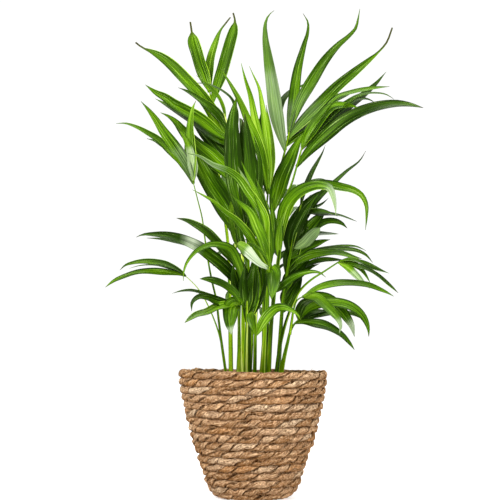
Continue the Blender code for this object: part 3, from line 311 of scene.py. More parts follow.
              (268.5, 15), (274.6, 9.6)], -46, 24, 165, 165, 0.38, 1.8),
            ([(288.8, 133), (290, 121), (294, 96), (297.6, 70), (304, 44.6), (308, 30), (308, 22),
              (302.7, 12.5)], 26, 16.5, 15, 30, 0.36, 2.2),
            ([(289, 132), (301, 100), (313, 79), (327, 57.5), (338, 45), (350, 34.5), (355.6, 28),
              (358, 19), (360, 7.7)], -24, 18, 18, 25, 0.38, 2.3),
            ([(288, 138), (302, 122), (321, 103), (337, 86.5), (354, 72), (368, 60.5), (378, 52),
              (386, 43), (392.6, 26.5)], -4, 19, 15, 20, 0.38, 3, 0.86),
            ([(286, 146), (306, 124), (326, 109), (341, 104.6), (352, 104)], 44, 20, 15, 25, 0.25),
            ([(287.5, 140), (307, 119), (322, 104), (333, 98), (345, 94.5), (353, 92)],
             60, 20, 12, 15, 0.12, 4),
            ([(272, 212), (277, 193), (283, 174), (290, 159), (298, 142), (306, 129)],
             -34, 25, 10, 20, 0.42),
            ([(286.5, 146), (281, 128), (279.5, 112), (283, 99.5), (290, 91.5), (299, 86.5), (308, 83),
              (319, 81.6)], 60, 13.5, 40, 50, 0.1),
            ([(269, 252), (267, 236), (265.5, 220), (264.5, 206), (264, 192)], 6, 15, 10, 15, 0.12),
            ([(268.5, 262), (272, 246), (273.5, 230), (273, 214), (271, 200)], -4, 13.5, 10, 15, 0.3),
        ],
    },
    "top_left": {
        "foot": 26, "lean": 0.2, "thick": 3,
        "stems": [
            [(231, 374), (230.3, 320), (229, 265), (227.5, 238), (225, 219), (222, 198), (218, 165),
             (214.5, 135), (212, 106), (209.5, 90)],
        ],
        "blades": [
            ([(209.5, 91), (205, 78), (200, 64), (196.5, 52), (193.5, 42), (192, 33), (190.2, 21)],
             -30, 17.5, 10, 12, 0.44, 16, 0.85),
            ([(209.5, 91), (209, 74), (211, 57), (215.5, 42), (221, 29), (226, 22.5), (230.7, 16.6)],
             34, 15, 18, 20, 0.48, 2.6, 0.88),
            ([(211.5, 104), (216.5, 88), (221.5, 73), (226, 57), (230.3, 42), (233.8, 29), (235, 20),
              (233, 12)], -10, 16.5, 12, 15, 0.4, 14, 0.91),
        ],
    },
    "right_dark": {
        "foot": 28, "lean": 0.3, "thick": 3.2,
        "stems": [
            [(278, 374), (280, 340), (283, 300), (287, 272), (290, 255), (293, 240), (297, 222),
             (301, 205)],
        ],
        "blades": [
            ([(286.5, 276), (295, 269), (307, 264.5), (316, 261), (324, 259), (334, 259), (346, 260)],
             34, 11.5, 42, 48, 0.1, 4),
            ([(287, 272), (295, 263), (307, 256), (320, 253), (336, 252), (344.6, 253.7), (353, 256.5),
              (362, 258.3)], -30, 15, 36, 44, 0.42, 5),
            ([(287.5, 268), (300, 257), (315, 250.5), (332, 246.7), (344.6, 245.5), (357, 246.3),
              (366.6, 250.4)], 46, 10, 48, 54, 0.1, 4),
            ([(287.2, 271), (296, 262), (307, 255), (320, 250.5), (328, 249), (344.6, 248.6), (357, 250),
              (365.4, 254), (373, 262.5)], 10, 11, 52, 46, 0.12, 5),
            ([(289.5, 258), (297, 253), (307, 246), (316.4, 243), (324, 240.5), (330.5, 239)],
             -14, 16, 18, 25, 0.15),
            ([(293.5, 238), (302, 234), (311.5, 229), (320, 223.5), (328, 220.6), (335.5, 220.6),
              (342, 223), (347.5, 228)], 30, 15, 30, 38, 0.1, 4),
            ([(292.5, 243), (305, 237), (320, 233), (328, 233), (339, 233.4)], 60, 11, 50, 48, 0.08, 5),
            ([(291.5, 248), (297, 247), (303, 244), (311, 236), (320, 227)], -34, 15, 165, 165, 0.4, 8),
            ([(299, 213), (307, 212), (316.4, 213), (328, 213), (340.5, 215), (349, 218), (357, 221)],
             44, 10, 52, 52, 0.1, 4),
            ([(299.5, 211), (308, 208), (316.4, 206), (323, 202.5), (329, 197)], 20, 9, 50, 60, 0.1),
            ([(291, 250), (297, 232), (305, 216), (313, 203), (323, 192), (332, 184), (347, 170.5),
              (360.4, 159.4), (366, 150)], 30, 13.5, 30, 45, 0.15),
            ([(290.5, 253), (293, 236), (300, 219), (309, 204), (319, 193)], -24, 19, 18, 25, 0.1),
            ([(290, 255), (289.5, 239), (294, 222), (302, 207), (311, 194)], 0, 20, 15, 25, 0.12),
            ([(301, 206), (303.5, 194), (308, 181), (313, 169.5), (318.5, 159.5), (323, 151),
              (325.5, 144)], 40, 10, 35, 45, 0.1),
            ([(301, 205), (304, 190), (311, 180.5), (321, 178.5), (330, 181)], 10, 9, 60, 60, 0.15),
            ([(299, 215), (307, 212.5), (317, 211), (328, 212), (338, 216)], 16, 15, 45, 55, 0.1),
            ([(296, 227), (301, 214), (308, 203), (316, 195), (326, 189)], 0, 18, 15, 20, 0.1),
            ([(282.5, 305), (284.5, 297), (288, 290), (294, 281), (303, 274)], 24, 15.5, 15, 20, 0.1),
            ([(284.5, 290), (290, 282), (298, 275), (308, 268), (320, 263)], 10, 14.5, 25, 40, 0.1),
            ([(284, 294), (286, 285), (292, 277), (300, 272), (309, 271)], -22, 14.5, 25, 40, 0.1),
            ([(287, 274), (290, 259), (295, 245), (301, 231), (308, 219)], 6, 22, 10, 15, 0.06, 4),
            ([(291.5, 250), (299, 240), (308, 229), (317, 219), (325, 212)], 14, 17, 15, 15, 0.25, 6),
            ([(284, 292), (288, 281), (295, 271), (303, 263), (311, 257)], 4, 19, 15, 20, 0.08, 4),
            ([(283, 312), (287, 303), (292, 292), (297, 283), (302, 273)], 8, 20, 10, 15, 0.08, 4),
        ],
    },
    "back_left": {
        "upright": True, "foot": 40, "lean": 0.24, "thick": 2.5,
        "stems": [
            [(239, 374, 0), (239, 320, 2), (238, 280, 6), (235.5, 245, 16), (232, 215, 32),
             (228, 190, 54)],
        ],
        "blades": [
            ([(236, 240), (232, 228), (229, 223), (226.5, 225), (225, 231)], 48, 5, 60, 50, 0.1),
            ([(233.5, 228), (222, 206), (214, 196), (210, 192)], 37, 15, 50, 60, 0.5),
            ([(230, 204), (224, 189), (218, 184), (213, 190)], 56, 14, 50, 60, 0.5),
            ([(228, 191), (225, 173), (224, 164), (226, 162)], 46, 14, 40, 50, 0.6),
            ([(228.5, 193), (232, 179), (236, 176), (240, 184)], 64, 14, 50, 60, 0.4),
            ([(231, 210), (236, 198), (241, 198), (245, 212)], 52, 14, 60, 60, 0.4),
            ([(234, 235), (239, 223), (244, 223), (248, 236)], 48, 14, 60, 60, 0.4),
            ([(236, 258), (228, 249), (220, 252), (213, 266)], 37, 12, 60, 60, 0.3),
            ([(236.5, 262), (241, 253), (245, 257), (249, 271)], 40, 12, 60, 60, 0.3),
        ],
    },
    "back_middle": {
        "upright": True, "foot": 48, "lean": 0.38, "thick": 2.6,
        "stems": [
            [(254.6, 374, 0), (255.8, 320, 2), (258, 285, 8), (258, 255, 21), (256, 232, 40),
             (252, 215, 62)],
        ],
        "blades": [
            ([(258, 262), (249, 257), (241, 264), (235, 280)], 40, 13, 60, 50, 0.4),
            ([(257.5, 248), (247, 239), (238, 242), (231, 256)], 45, 15, 60, 60, 0.5),
            ([(256, 232), (245, 221), (237, 222), (231, 234)], 48, 15, 60, 60, 0.5),
            ([(253.5, 221), (246, 207), (241, 202), (238, 206)], 45, 14, 50, 60, 0.5),
            ([(252, 216), (252, 201), (252, 196), (253, 198)], 48, 14, 30, 30, 0.6),
            ([(253, 218), (260, 205), (265, 203), (270, 210)], 48, 14, 50, 60, 0.5),
            ([(255, 228), (265, 217), (273, 218), (280, 230)], 50, 15, 60, 60, 0.4),
            ([(257.5, 246), (265, 237), (271, 241), (276, 252)], 50, 14, 60, 60, 0.4),
            ([(258, 262), (263, 257), (268, 263), (271, 276)], 44, 12, 60, 60, 0.3),
        ],
    },
    "back_right": {
        "upright": True, "foot": 42, "lean": 0.28, "thick": 3,
        "stems": [
            [(268.5, 374, 0), (271, 325, 2), (274.5, 285, 6), (279, 250, 16), (283, 222, 32),
             (286, 200, 51)],
        ],
        "blades": [
            ([(277.5, 262), (288, 251), (296, 252), (304, 264)], 48, 14, 60, 60, 0.4),
            ([(280, 243), (291, 229), (300, 228), (309, 238)], 48, 15, 60, 60, 0.4),
            ([(282.5, 226), (292, 209), (300, 206), (308, 212)], 48, 14, 50, 60, 0.5),
            ([(286, 202), (291, 189), (296, 184), (302, 187)], 40, 13, 40, 60, 0.5),
            ([(286, 201), (284, 189), (281, 184), (277, 185)], 43, 13, 40, 50, 0.5),
            ([(284.5, 212), (279, 201), (275, 202), (271, 213)], 50, 14, 60, 60, 0.4),
            ([(281, 236), (277, 227), (273, 231), (270, 243)], 44, 14, 60, 60, 0.4),
            ([(278, 256), (273, 249), (269, 253), (267, 264)], 36, 12, 60, 60, 0.3),
            ([(276.5, 270), (286, 264), (293, 269), (299, 283)], 40, 12, 60, 60, 0.3),
        ],
    },
    "back_low": {
        "upright": True, "foot": 54, "lean": 0.5, "thick": 2.8,
        "stems": [
            [(247, 374, 0), (247, 345, 2), (247.5, 318, 8), (248, 298, 19), (248, 284, 35)],
        ],
        "blades": [
            ([(247.7, 312), (241, 303), (235, 307), (231, 322)], 40, 12, 60, 50, 0.4),
            ([(248, 300), (239, 289), (231, 291), (225, 306)], 45, 13, 60, 60, 0.4),
            ([(248, 288), (240, 276), (234, 275), (228, 284)], 48, 13, 60, 60, 0.5),
            ([(248, 285), (246, 273), (245, 270), (246, 272)], 50, 13, 30, 30, 0.5),
            ([(248, 286), (254, 275), (260, 275), (266, 285)], 48, 13, 60, 60, 0.5),
            ([(248, 299), (256, 289), (263, 292), (268, 307)], 43, 13, 60, 60, 0.4),
            ([(247.8, 310), (254, 302), (260, 307), (264, 323)], 38, 12, 60, 60, 0.4),
        ],
    },
    "back_high": {
        "upright": True, "foot": 34, "lean": 0.2, "thick": 3.2,
        "stems": [
            [(264, 374, 0), (264, 310, 2), (262, 260, 5), (258.5, 220, 11), (254, 185, 21),
             (250, 155, 35), (246, 135, 48)],
        ],
        "blades": [
            ([(247, 140), (242, 123), (240, 118), (240, 119)], 35, 14, 30, 30, 0.4),
            ([(246.5, 137), (254, 123), (260, 118), (264, 120)], 24, 16, 30, 30, 0.15),
            ([(249, 150), (241, 139), (234, 137), (227, 144)], 43, 14, 50, 60, 0.4),
            ([(251, 162), (243, 151), (236, 152), (229, 163)], 50, 14, 60, 60, 0.4),
            ([(250.5, 158), (257, 143), (261, 137), (263, 134)], 40, 14, 40, 40, 0.3),
            ([(253, 176), (259, 161), (263, 156), (265, 156)], 48, 14, 50, 50, 0.3),
            ([(254, 186), (245, 174), (237, 174), (230, 185)], 51, 14, 60, 60, 0.4),
            ([(255.5, 202), (263, 189), (267, 186), (268, 186)], 48, 14, 50, 60, 0.4),
            ([(256, 210), (250, 200), (244, 200), (238, 209)], 36, 13, 60, 60, 0.4),
        ],
    },
}


# Mesh helpers

def makePiece(name, points, faces, uv=None, values=None):
    # A mesh object at the origin from whole arrays, with uv and values for each point.
    mesh = bpy.data.meshes.new(name)
    mesh.from_pydata(points.tolist(), [], faces)
    mesh.update()
    corners = np.empty(len(mesh.loops), np.int32)
    mesh.loops.foreach_get("vertex_index", corners)
    if uv is not None:
        layer = mesh.uv_layers.new(name="flow")
        layer.uv.foreach_set("vector", uv[corners].astype(np.float32).ravel())
    for key, value in (values or {}).items():
        attribute = mesh.attributes.new(key, "FLOAT", "POINT")
        attribute.data.foreach_set("value", np.broadcast_to(value, len(points)).astype(np.float32))
    mesh.polygons.foreach_set("use_smooth", np.ones(len(mesh.polygons), bool))
    piece = bpy.data.objects.new(name, mesh)
    bpy.context.scene.collection.objects.link(piece)
    return piece


def settle(piece, material, slot, *nodes):
    # Gives the piece its material and body and hides the nodes that it stands for; its slot is not used.
    piece.data.materials.append(material)
    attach(piece, "root")
    if nodes:
        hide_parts(*nodes)


def tubeFaces(stations, sides):
    # Quads between neighbouring rings of points, and one flat face on each end.
    k, j = np.meshgrid(np.arange(stations - 1), np.arange(sides), indexing="ij")
    a = k * sides + j
    b = k * sides + (j + 1) % sides
    faces = np.stack([a, b, b + sides, a + sides], axis=-1).reshape(-1, 4).tolist()
    last = (stations - 1) * sides
    faces.append(list(range(sides - 1, -1, -1)))
    faces.append(list(range(last, last + sides)))
    return faces


def ringFaces(stations, sides):
    # Quads of a tube that closes on itself, the last ring joined to the first.
    k, j = np.meshgrid(np.arange(stations), np.arange(sides), indexing="ij")
    nextK = (k + 1) % stations
    nextJ = (j + 1) % sides
    corners = [k * sides + j, k * sides + nextJ, nextK * sides + nextJ, nextK * sides + j]
    return np.stack(corners, axis=-1).reshape(-1, 4).tolist()


def joined(parts):
    # Stacks (points, faces, uv, values) parts into one, with each part's faces moved up.
    points, faces, uv, values = [], [], [], {}
    start = 0
    for partPoints, partFaces, partUv, partValues in parts:
        points.append(partPoints)
        faces.extend([[corner + start for corner in face] for face in partFaces])
        uv.append(partUv)
        for key, value in partValues.items():
            values.setdefault(key, []).append(np.broadcast_to(value, len(partPoints)))
        start += len(partPoints)
    return (np.vstack(points), faces, np.vstack(uv),
            {key: np.concatenate(value) for key, value in values.items()})


def aroundAxis(radius, height, turn):
    # Points at a radius, a height and a turn about the upright axis.
    x = radius * np.cos(turn)
    y = radius * np.sin(turn)
    return np.stack([x, y, np.broadcast_to(height, x.shape)], axis=-1)


def turnedPoints(profile, sides):
    # A profile of (radius, height) rows carried round the upright axis.
    turn = np.arange(sides) * 2 * math.pi / sides
    radius, height = np.array(profile, float).T[..., None]
    return aroundAxis(radius, height, turn)


def flowMap(across, along, shape):
    # Map places of a grid of points: how far across and how far along the fibres each one is.
    return np.stack([np.broadcast_to(across, shape), np.broadcast_to(along, shape)], axis=-1).reshape(-1, 2)


def lengthAlong(points):
    # Length travelled from the first point to each point.
    return np.concatenate([[0.0], np.cumsum(np.linalg.norm(np.diff(points, axis=0), axis=1))])


def readAt(places, travelled, rows):
    # Rows read at travelled lengths, straight between their neighbours.
    return np.stack([np.interp(places, travelled, column) for column in rows.T], axis=1)


def unit(rows):
    # Each row divided by its length.
    return rows / np.maximum(np.linalg.norm(rows, axis=1), 1e-9)[:, None]


def ringNoise(turn, rng, lowest, highest, strength):
    # A wavering value that closes over a full turn: a sum of whole-number waves with random phases.
    total = np.zeros_like(turn)
    for count in range(lowest, highest + 1):
        total += rng.normal() * np.cos(count * turn + rng.uniform(0, 2 * math.pi))
    return strength * total / math.sqrt(highest - lowest + 1)


def rise(value, low, high):
    # Climbs smoothly from 0 at low to 1 at high.
    t = np.clip((value - low) / (high - low), 0.0, 1.0)
    return t * t * (3 - 2 * t)


# Shader helpers

def shade(red, green, blue):
    # A colour from its 0 to 255 values as they look on a screen.
    levels = [c / 255 / 12.92 if c <= 10 else ((c / 255 + 0.055) / 1.055) ** 2.4
              for c in (red, green, blue)]
    return (*levels, 1.0)


def newMaterial(name, **settings):
    # A material with one Principled shader; constant numbers go straight on its sockets.
    material = bpy.data.materials.new(name)
    material.use_nodes = True
    shader = material.node_tree.nodes["Principled BSDF"]
    for socket, value in settings.items():
        shader.inputs[socket.replace("_", " ")].default_value = value
    return material, material.node_tree, shader


def feed(tree, socket, source):
    # Links a socket to the input, or sets the input to a value.
    if isinstance(source, bpy.types.NodeSocket):
        tree.links.new(source, socket)
    else:
        socket.default_value = source


def addNode(tree, kind, sources, **settings):
    # A node with its settings and its inputs.
    node = tree.nodes.new(kind)
    for key, value in settings.items():
        setattr(node, key, value)
    for socket, source in sources.items():
        feed(tree, node.inputs[socket], source)
    return node


def maths(tree, operation, *values):
    # One sum, product or other function of numbers.
    return addNode(tree, "ShaderNodeMath", dict(enumerate(values)), operation=operation).outputs[0]


def span(tree, value, low, high, toLow=0.0, toHigh=1.0):
    # A smooth step from toLow at low to toHigh at high.
    sources = {"Value": value, "From Min": low, "From Max": high, "To Min": toLow, "To Max": toHigh}
    return addNode(tree, "ShaderNodeMapRange", sources, interpolation_type="SMOOTHSTEP").outputs["Result"]


def mixed(tree, share, first, second):
    # Two colours mixed by a share: sockets 0, 6 and 7 are the Mix node's factor and colours.
    return addNode(tree, "ShaderNodeMix", {0: share, 6: first, 7: second}, data_type="RGBA").outputs[2]


def ramp(tree, value, *stops):
    # A colour ramp through (place, red, green, blue) stops with 0 to 255 colours.
    node = addNode(tree, "ShaderNodeValToRGB", {"Fac": value})
    elements = node.color_ramp.elements
    while len(elements) < len(stops):
        elements.new(1.0)
    for element, (place, *colour) in zip(elements, stops):
        element.position = place
        element.color = shade(*colour)
    return node.outputs["Color"]


def pointValue(tree, key):
    # A value that each point of the mesh carries.
    return addNode(tree, "ShaderNodeAttribute", {}, attribute_name=key).outputs["Fac"]


def flowPlace(tree):
    # The piece's own UV map: across in x and along in y.
    return addNode(tree, "ShaderNodeUVMap", {}, uv_map="flow").outputs["UV"]


def objectPlace(tree):
    # The shaded point's place in metres.
    return addNode(tree, "ShaderNodeTexCoord", {}).outputs["Object"]


def noiseAt(tree, place, scale, detail):
    # Smooth noise about 0.5, with so many features to a unit of length and so many finer layers.
    sources = {"Vector": place, "Scale": scale, "Detail": detail}
    return addNode(tree, "ShaderNodeTexNoise", sources).outputs["Fac"]


def centred(tree, value, middle, strength):
    # A noise less its middle, times a strength.
    return maths(tree, "MULTIPLY", maths(tree, "SUBTRACT", value, middle), strength)


def makeStreakGroup():
    # Long fibres: noise squeezed across and stretched along, in a coarse and a fine size.
    group = bpy.data.node_groups.new("fibreStreaks", "ShaderNodeTree")
    for name, kind in (("Place", "NodeSocketVector"), ("Across", "NodeSocketFloat"),
                       ("Along", "NodeSocketFloat"), ("Seed", "NodeSocketFloat")):
        group.interface.new_socket(name, in_out="INPUT", socket_type=kind)
    for name in ("Coarse", "Fine"):
        group.interface.new_socket(name, in_out="OUTPUT", socket_type="NodeSocketFloat")
    given = group.nodes.new("NodeGroupInput")
    put = group.nodes.new("NodeGroupOutput")
    density = {"X": given.outputs["Across"], "Y": given.outputs["Along"]}
    size = addNode(group, "ShaderNodeCombineXYZ", density).outputs[0]
    offset = addNode(group, "ShaderNodeCombineXYZ", {"Z": given.outputs["Seed"]}).outputs[0]
    sources = {0: given.outputs["Place"], 1: size, 2: offset}
    place = addNode(group, "ShaderNodeVectorMath", sources, operation="MULTIPLY_ADD").outputs[0]
    for name, scale, detail in (("Coarse", 1.0, 2.0), ("Fine", 3.3, 3.0)):
        feed(group, put.inputs[name], noiseAt(group, place, scale, detail))
    return group


streakGroup = makeStreakGroup()


def streaks(tree, across, along, seed):
    # The coarse and fine fibres of the flow map.
    node = addNode(tree, "ShaderNodeGroup", {}, node_tree=streakGroup)
    for name, source in (("Place", flowPlace(tree)), ("Across", across), ("Along", along), ("Seed", seed)):
        feed(tree, node.inputs[name], source)
    return node.outputs["Coarse"], node.outputs["Fine"]


def bumped(tree, shader, height, strength, distance):
    # Feeds a height to the shader's normal.
    node = addNode(tree, "ShaderNodeBump", {"Height": height, "Strength": strength, "Distance": distance})
    feed(tree, shader.inputs["Normal"], node.outputs[0])


# Basket of rope rows

basketLook = {
    "rowPitch": 0.01045,
    "ropeHigh": 0.0056,  # half the height of a row
    "ropeDeep": 0.0043,  # half the thickness of a row
    "rimLift": 0.0006,  # the top row stands this much over the outline
    "rowEdge": 0.0046,  # beyond this height the rows are pressed flat on each other
    "twistLength": 0.054,  # one full turn of a ply along the row
    "tighter": 0.4,  # added twist of the middle rows
    "tightAt": 0.075,  # height of the tightest rows
    "tightReach": 0.028,
    "plyShift": 0.0024,  # from the middle of the rope to the middle of a ply
    "plyWide": 0.0047,
    "plyThin": 0.0034,
    "plyReach": 0.0057,  # half the size of two such plies, which is fitted to the row
    "plyRound": 0.026,  # length round a ply
    "plySides": 16,
    "station": 0.0019,  # from ring to ring along a ply
    "waver": 0.0008,
    "rightDip": 0.0014,  # the rim is a little lower on the right
    "rowSplits": (6, 12),  # the rows are three pieces, split here
    "wall": 0.0085,
    "coreSpan": (0.003, 0.165),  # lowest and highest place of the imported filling
    "coreDepth": 0.0040,  # the filling lies this far inside the outline
    "coreThickness": 0.0026,
    "coreRings": 30,
    "coreSides": 120,
    "fibres": 150,
    "fibreRows": 17,  # the rows from the top down that have loose fibres
    "fibreLength": (0.004, 0.011),
    "fibreWidth": (0.0004, 0.0011),
    "fibreCurl": (0.0008, 0.0030),
    "fibreStations": 7,
    "seed": 4,
}
basketOutline = [(0.0990, 0.170), (0.1002, 0.160), (0.0936, 0.124), (0.0815, 0.0733), (0.0709, 0.0442),
                 (0.0635, 0.0205), (0.0590, 0.0105), (0.0545, 0.0045), (0.047, 0.0), (0.0, 0.0)]


def outlineRadius(height):
    # Radius of the basket's outline at a height, read between its corners from the foot up.
    upwards = np.array(basketOutline[-2::-1])
    return np.interp(height, upwards[:, 1], upwards[:, 0])


def ropeCentres():
    # Middle of each row: the outline read at even steps and moved in by half the rope's thickness.
    look = basketLook
    outline = np.array(basketOutline)
    length = lengthAlong(outline)
    line = readAt(np.linspace(0.0, length[-1], 400), length, outline)
    tangent = unit(np.gradient(line, axis=0))
    inner = line + np.stack([tangent[:, 1], -tangent[:, 0]], axis=1) * look["ropeDeep"]
    travelled = lengthAlong(inner)
    count = int((travelled[-1] - look["ropeHigh"]) / look["rowPitch"])
    places = look["ropeHigh"] - look["rimLift"] + look["rowPitch"] * np.arange(count)
    return readAt(places, travelled, inner), unit(readAt(places, travelled, tangent))


def ropePly(centre, downward, ply, rowSeed):
    # One ply of one row: an oval bundle that turns round the rope's middle as the rope goes round.
    look = basketLook
    rowRng = np.random.default_rng(rowSeed)
    plyRng = np.random.default_rng(rowSeed * 10 + ply + 1)
    around = 2 * math.pi * centre[0]
    stations = max(int(around / look["station"]), 24)
    tighter = 1 + look["tighter"] * math.exp(-((centre[1] - look["tightAt"]) / look["tightReach"]) ** 2)
    turns = max(int(round(around / look["twistLength"] * tighter * rowRng.uniform(0.85, 1.2))), 1)
    # The row's own noise: its twist, its wander up and down, and its thick and thin stretches.
    turn = np.arange(stations) * 2 * math.pi / stations + math.pi / 2
    lean = turns * turn + rowRng.uniform(0, 2 * math.pi) + ringNoise(turn, rowRng, 2, 20, 0.6)
    sway = ringNoise(turn, rowRng, 2, 8, look["waver"])
    swell = 1 + ringNoise(turn, rowRng, 3, 14, 0.05)
    lean = lean + math.pi * ply
    # The ply's own noise, and the ridges that run along it.
    wide = look["plyWide"] * (1 + ringNoise(turn, plyRng, 8, 40, 0.15)) * swell
    thin = look["plyThin"] * (1 + ringNoise(turn, plyRng, 8, 60, 0.18)) * swell
    shift = look["plyShift"] * (1 + ringNoise(turn, plyRng, 6, 30, 0.32))
    corner = np.arange(look["plySides"]) * 2 * math.pi / look["plySides"]
    folds = ringNoise(turn, plyRng, 2, 20, 1.0)[:, None]
    ridge = 1 + 0.09 * np.cos(3 * corner + 1.7 * folds) + 0.08 * np.cos(5 * corner - 2.3 * folds)
    # The oval beside the rope's middle, turned by the lean and fitted to the row's size.
    b = shift[:, None] + thin[:, None] * np.cos(corner) * ridge
    a = wide[:, None] * np.sin(corner) * ridge
    high = look["ropeHigh"] / look["plyReach"]
    deep = look["ropeDeep"] / look["plyReach"]
    out = (b * np.cos(lean)[:, None] - a * np.sin(lean)[:, None]) * deep
    up = (b * np.sin(lean)[:, None] + a * np.cos(lean)[:, None]) * high
    edge = look["rowEdge"] * (1 + ringNoise(turn, plyRng, 10, 60, 0.16))[:, None]
    up = np.where(np.abs(up) > edge, np.sign(up) * (edge + np.abs(up)) / 2, up)
    up = up + sway[:, None]
    # Carried to the row's place, with the rim's dip and kept close to the basket's outline.
    radius = centre[0] - downward[1] * out - downward[0] * up
    height = centre[1] + downward[0] * out - downward[1] * up
    dip = look["rightDip"] * (1 + np.cos(turn))[:, None] * centre[1] / basketOutline[0][1]
    height = np.maximum(height - dip, 0.0)
    limit = outlineRadius(height) + np.interp(height, [0.008, 0.03], [0.0004, 0.004])
    radius = np.minimum(radius, limit + (radius - limit) * 0.2)
    points = aroundAxis(radius, height, turn[:, None]).reshape(-1, 3)
    # Each visible stretch of ply has a tone of its own; creases and undersides are marked for painted shade.
    lozenge = np.floor((lean + math.pi) / (2 * math.pi)).astype(int)
    lozenge -= lozenge.min()
    tones = plyRng.uniform(0.0, 1.0, lozenge.max() + 1)
    uv = flowMap(corner / (2 * math.pi) * look["plyRound"], (turn * centre[0])[:, None], a.shape)
    facing = np.abs(out) / (look["ropeDeep"] * 1.05)
    groove = rise(np.cos(corner)[None, :] + 0.25 * np.abs(np.sin(corner))[None, :], -0.25, 0.55)
    exposed = rise(facing, -0.45, 0.5) * (0.15 + 0.85 * groove)
    values = {"tone": np.repeat(tones[lozenge], look["plySides"]),
              "outward": exposed.ravel(),
              "low": rise(-up / look["ropeHigh"], -0.35, 0.85).ravel(),
              "strand": rowSeed * 0.37 + ply * 5.1}
    return points, ringFaces(stations, look["plySides"]), uv, values


def fibreStrip(start, outward, along, length, width, curl):
    # One loose fibre: a flat four-cornered strip that leaves the rope and bends away.
    stations = basketLook["fibreStations"]
    share = np.linspace(0.0, 1.0, stations)[:, None]
    side = np.cross(outward, along)
    line = start + along * length * share + outward * curl * share**1.6 + side * length * 0.25 * share**2
    reach = side / np.linalg.norm(side) * (width / 2 * (1 - 0.75 * share))
    thin = outward * 0.00012
    ring = np.stack([line + reach + thin, line - reach + thin, line - reach - thin, line + reach - thin],
                    axis=1)
    uv = flowMap(np.array([0, 0.2, 0.2, 0]) * 0.01, share * length, (stations, 4))
    return ring.reshape(-1, 3), tubeFaces(stations, 4), uv, {}


def makeRopeMaterial():
    # Dried seagrass: each visible stretch of ply has its own tan, with long fibres, painted highlights on the
    # fine fibres and painted shade in the creases and on each row's lower side.
    material, tree, shader = newMaterial("seagrassRope", Roughness=0.8, Specular_IOR_Level=0.0)
    tone = pointValue(tree, "tone")
    outward = pointValue(tree, "outward")
    strand = pointValue(tree, "strand")
    coarse, fine = streaks(tree, 430.0, 95.0, strand)
    place = objectPlace(tree)
    patch = noiseAt(tree, place, 75.0, 4.0)
    speck = noiseAt(tree, place, 620.0, 2.0)
    base = ramp(tree, tone, (0.0, 167, 121, 80), (0.2, 185, 139, 97), (0.45, 203, 158, 117),
                (0.7, 218, 175, 134), (0.76, 206, 147, 91), (0.84, 223, 182, 142), (1.0, 238, 208, 172))
    pale = mixed(tree, span(tree, coarse, 0.48, 0.66, 0.0, 0.6), base, shade(218, 183, 141))
    brown = mixed(tree, span(tree, coarse, 0.50, 0.34, 0.0, 0.6), pale, shade(106, 69, 33))
    fibres = mixed(tree, span(tree, fine, 0.53, 0.41, 0.0, 0.9), brown, shade(76, 46, 18))
    # Painted highlight: pale glints on the fine fibres.
    lit = mixed(tree, span(tree, fine, 0.55, 0.66, 0.0, 0.6), fibres, shade(238, 209, 170))
    spotted = mixed(tree, span(tree, patch, 0.54, 0.70, 0.0, 0.35), lit, shade(116, 76, 38))
    freckled = mixed(tree, span(tree, speck, 0.54, 0.64, 0.0, 0.55), spotted, shade(68, 40, 14))
    # Painted shade: the lower side of each row darker, as the light comes from above.
    shaded = mixed(tree, maths(tree, "MULTIPLY", pointValue(tree, "low"), 0.62), freckled, shade(102, 66, 30))
    # Painted shade: the creases between plies and rows, and the filling behind them, darkened in broken
    # dashes.
    broken = maths(tree, "MULTIPLY", span(tree, patch, 0.36, 0.56, 0.45), span(tree, speck, 0.40, 0.56, 0.5))
    creaseShadeShare = maths(tree, "MULTIPLY", span(tree, outward, 0.08, 0.74, 1.0, 0.0), broken)
    deep = mixed(tree, creaseShadeShare, shaded, shade(48, 25, 5))
    feed(tree, shader.inputs["Base Color"], deep)
    feed(tree, shader.inputs["Roughness"], span(tree, coarse, 0.3, 0.7, 0.88, 0.66))
    height = maths(tree, "ADD", coarse, maths(tree, "MULTIPLY", fine, 0.5))
    bumped(tree, shader, height, 0.9, 0.0012)
    return material


def makeCore():
    # The imported filling behind the rows, partly the rope's filling and partly a dark sheet that paints
    # the shade seen through the gaps between rows: the outline moved inwards, up outside and down inside.
    look = basketLook
    heights = np.linspace(*look["coreSpan"], look["coreRings"])
    wall = outlineRadius(heights) - look["coreDepth"]
    radius = np.concatenate([wall, wall[::-1] - look["coreThickness"]])
    height = np.concatenate([heights, heights[::-1]])
    turn = np.arange(look["coreSides"])[:, None] * 2 * math.pi / look["coreSides"]
    shape = (look["coreSides"], len(radius))
    points = aroundAxis(radius, height, turn).reshape(-1, 3)
    # The filling takes the full painted crease shade.
    values = {"tone": 0.3, "outward": 0.0, "strand": 3.3}
    return points, ringFaces(*shape), flowMap(height, turn * radius, shape), values


def makeFibres(centres):
    # Loose fibres at random places on the rope, each with a way, length, width and curl of its own.
    look = basketLook
    rng = np.random.default_rng(look["seed"])
    strips = []
    for _ in range(look["fibres"]):
        row = rng.integers(0, look["fibreRows"])
        turn = rng.uniform(0, 2 * math.pi)
        outward = np.array([math.cos(turn), math.sin(turn), 0.1])
        spot = centres[row] + [look["ropeDeep"] * 0.75, rng.uniform(-0.004, 0.004)]
        start = np.array([spot[0] * math.cos(turn), spot[0] * math.sin(turn), max(spot[1], 0.012)])
        along = np.array([-math.sin(turn), math.cos(turn), rng.normal(0.25, 0.6)])
        along *= rng.choice([-1, 1])
        sizes = [rng.uniform(*look[key]) for key in ("fibreLength", "fibreWidth", "fibreCurl")]
        strips.append(fibreStrip(start, outward, along, *sizes))
    points, faces, uv, values = joined(strips)
    tones = np.repeat(rng.uniform(0.5, 1.0, look["fibres"]), len(points) // look["fibres"])
    return points, faces, uv, {"tone": tones, "outward": 1.0, "strand": 0.0}


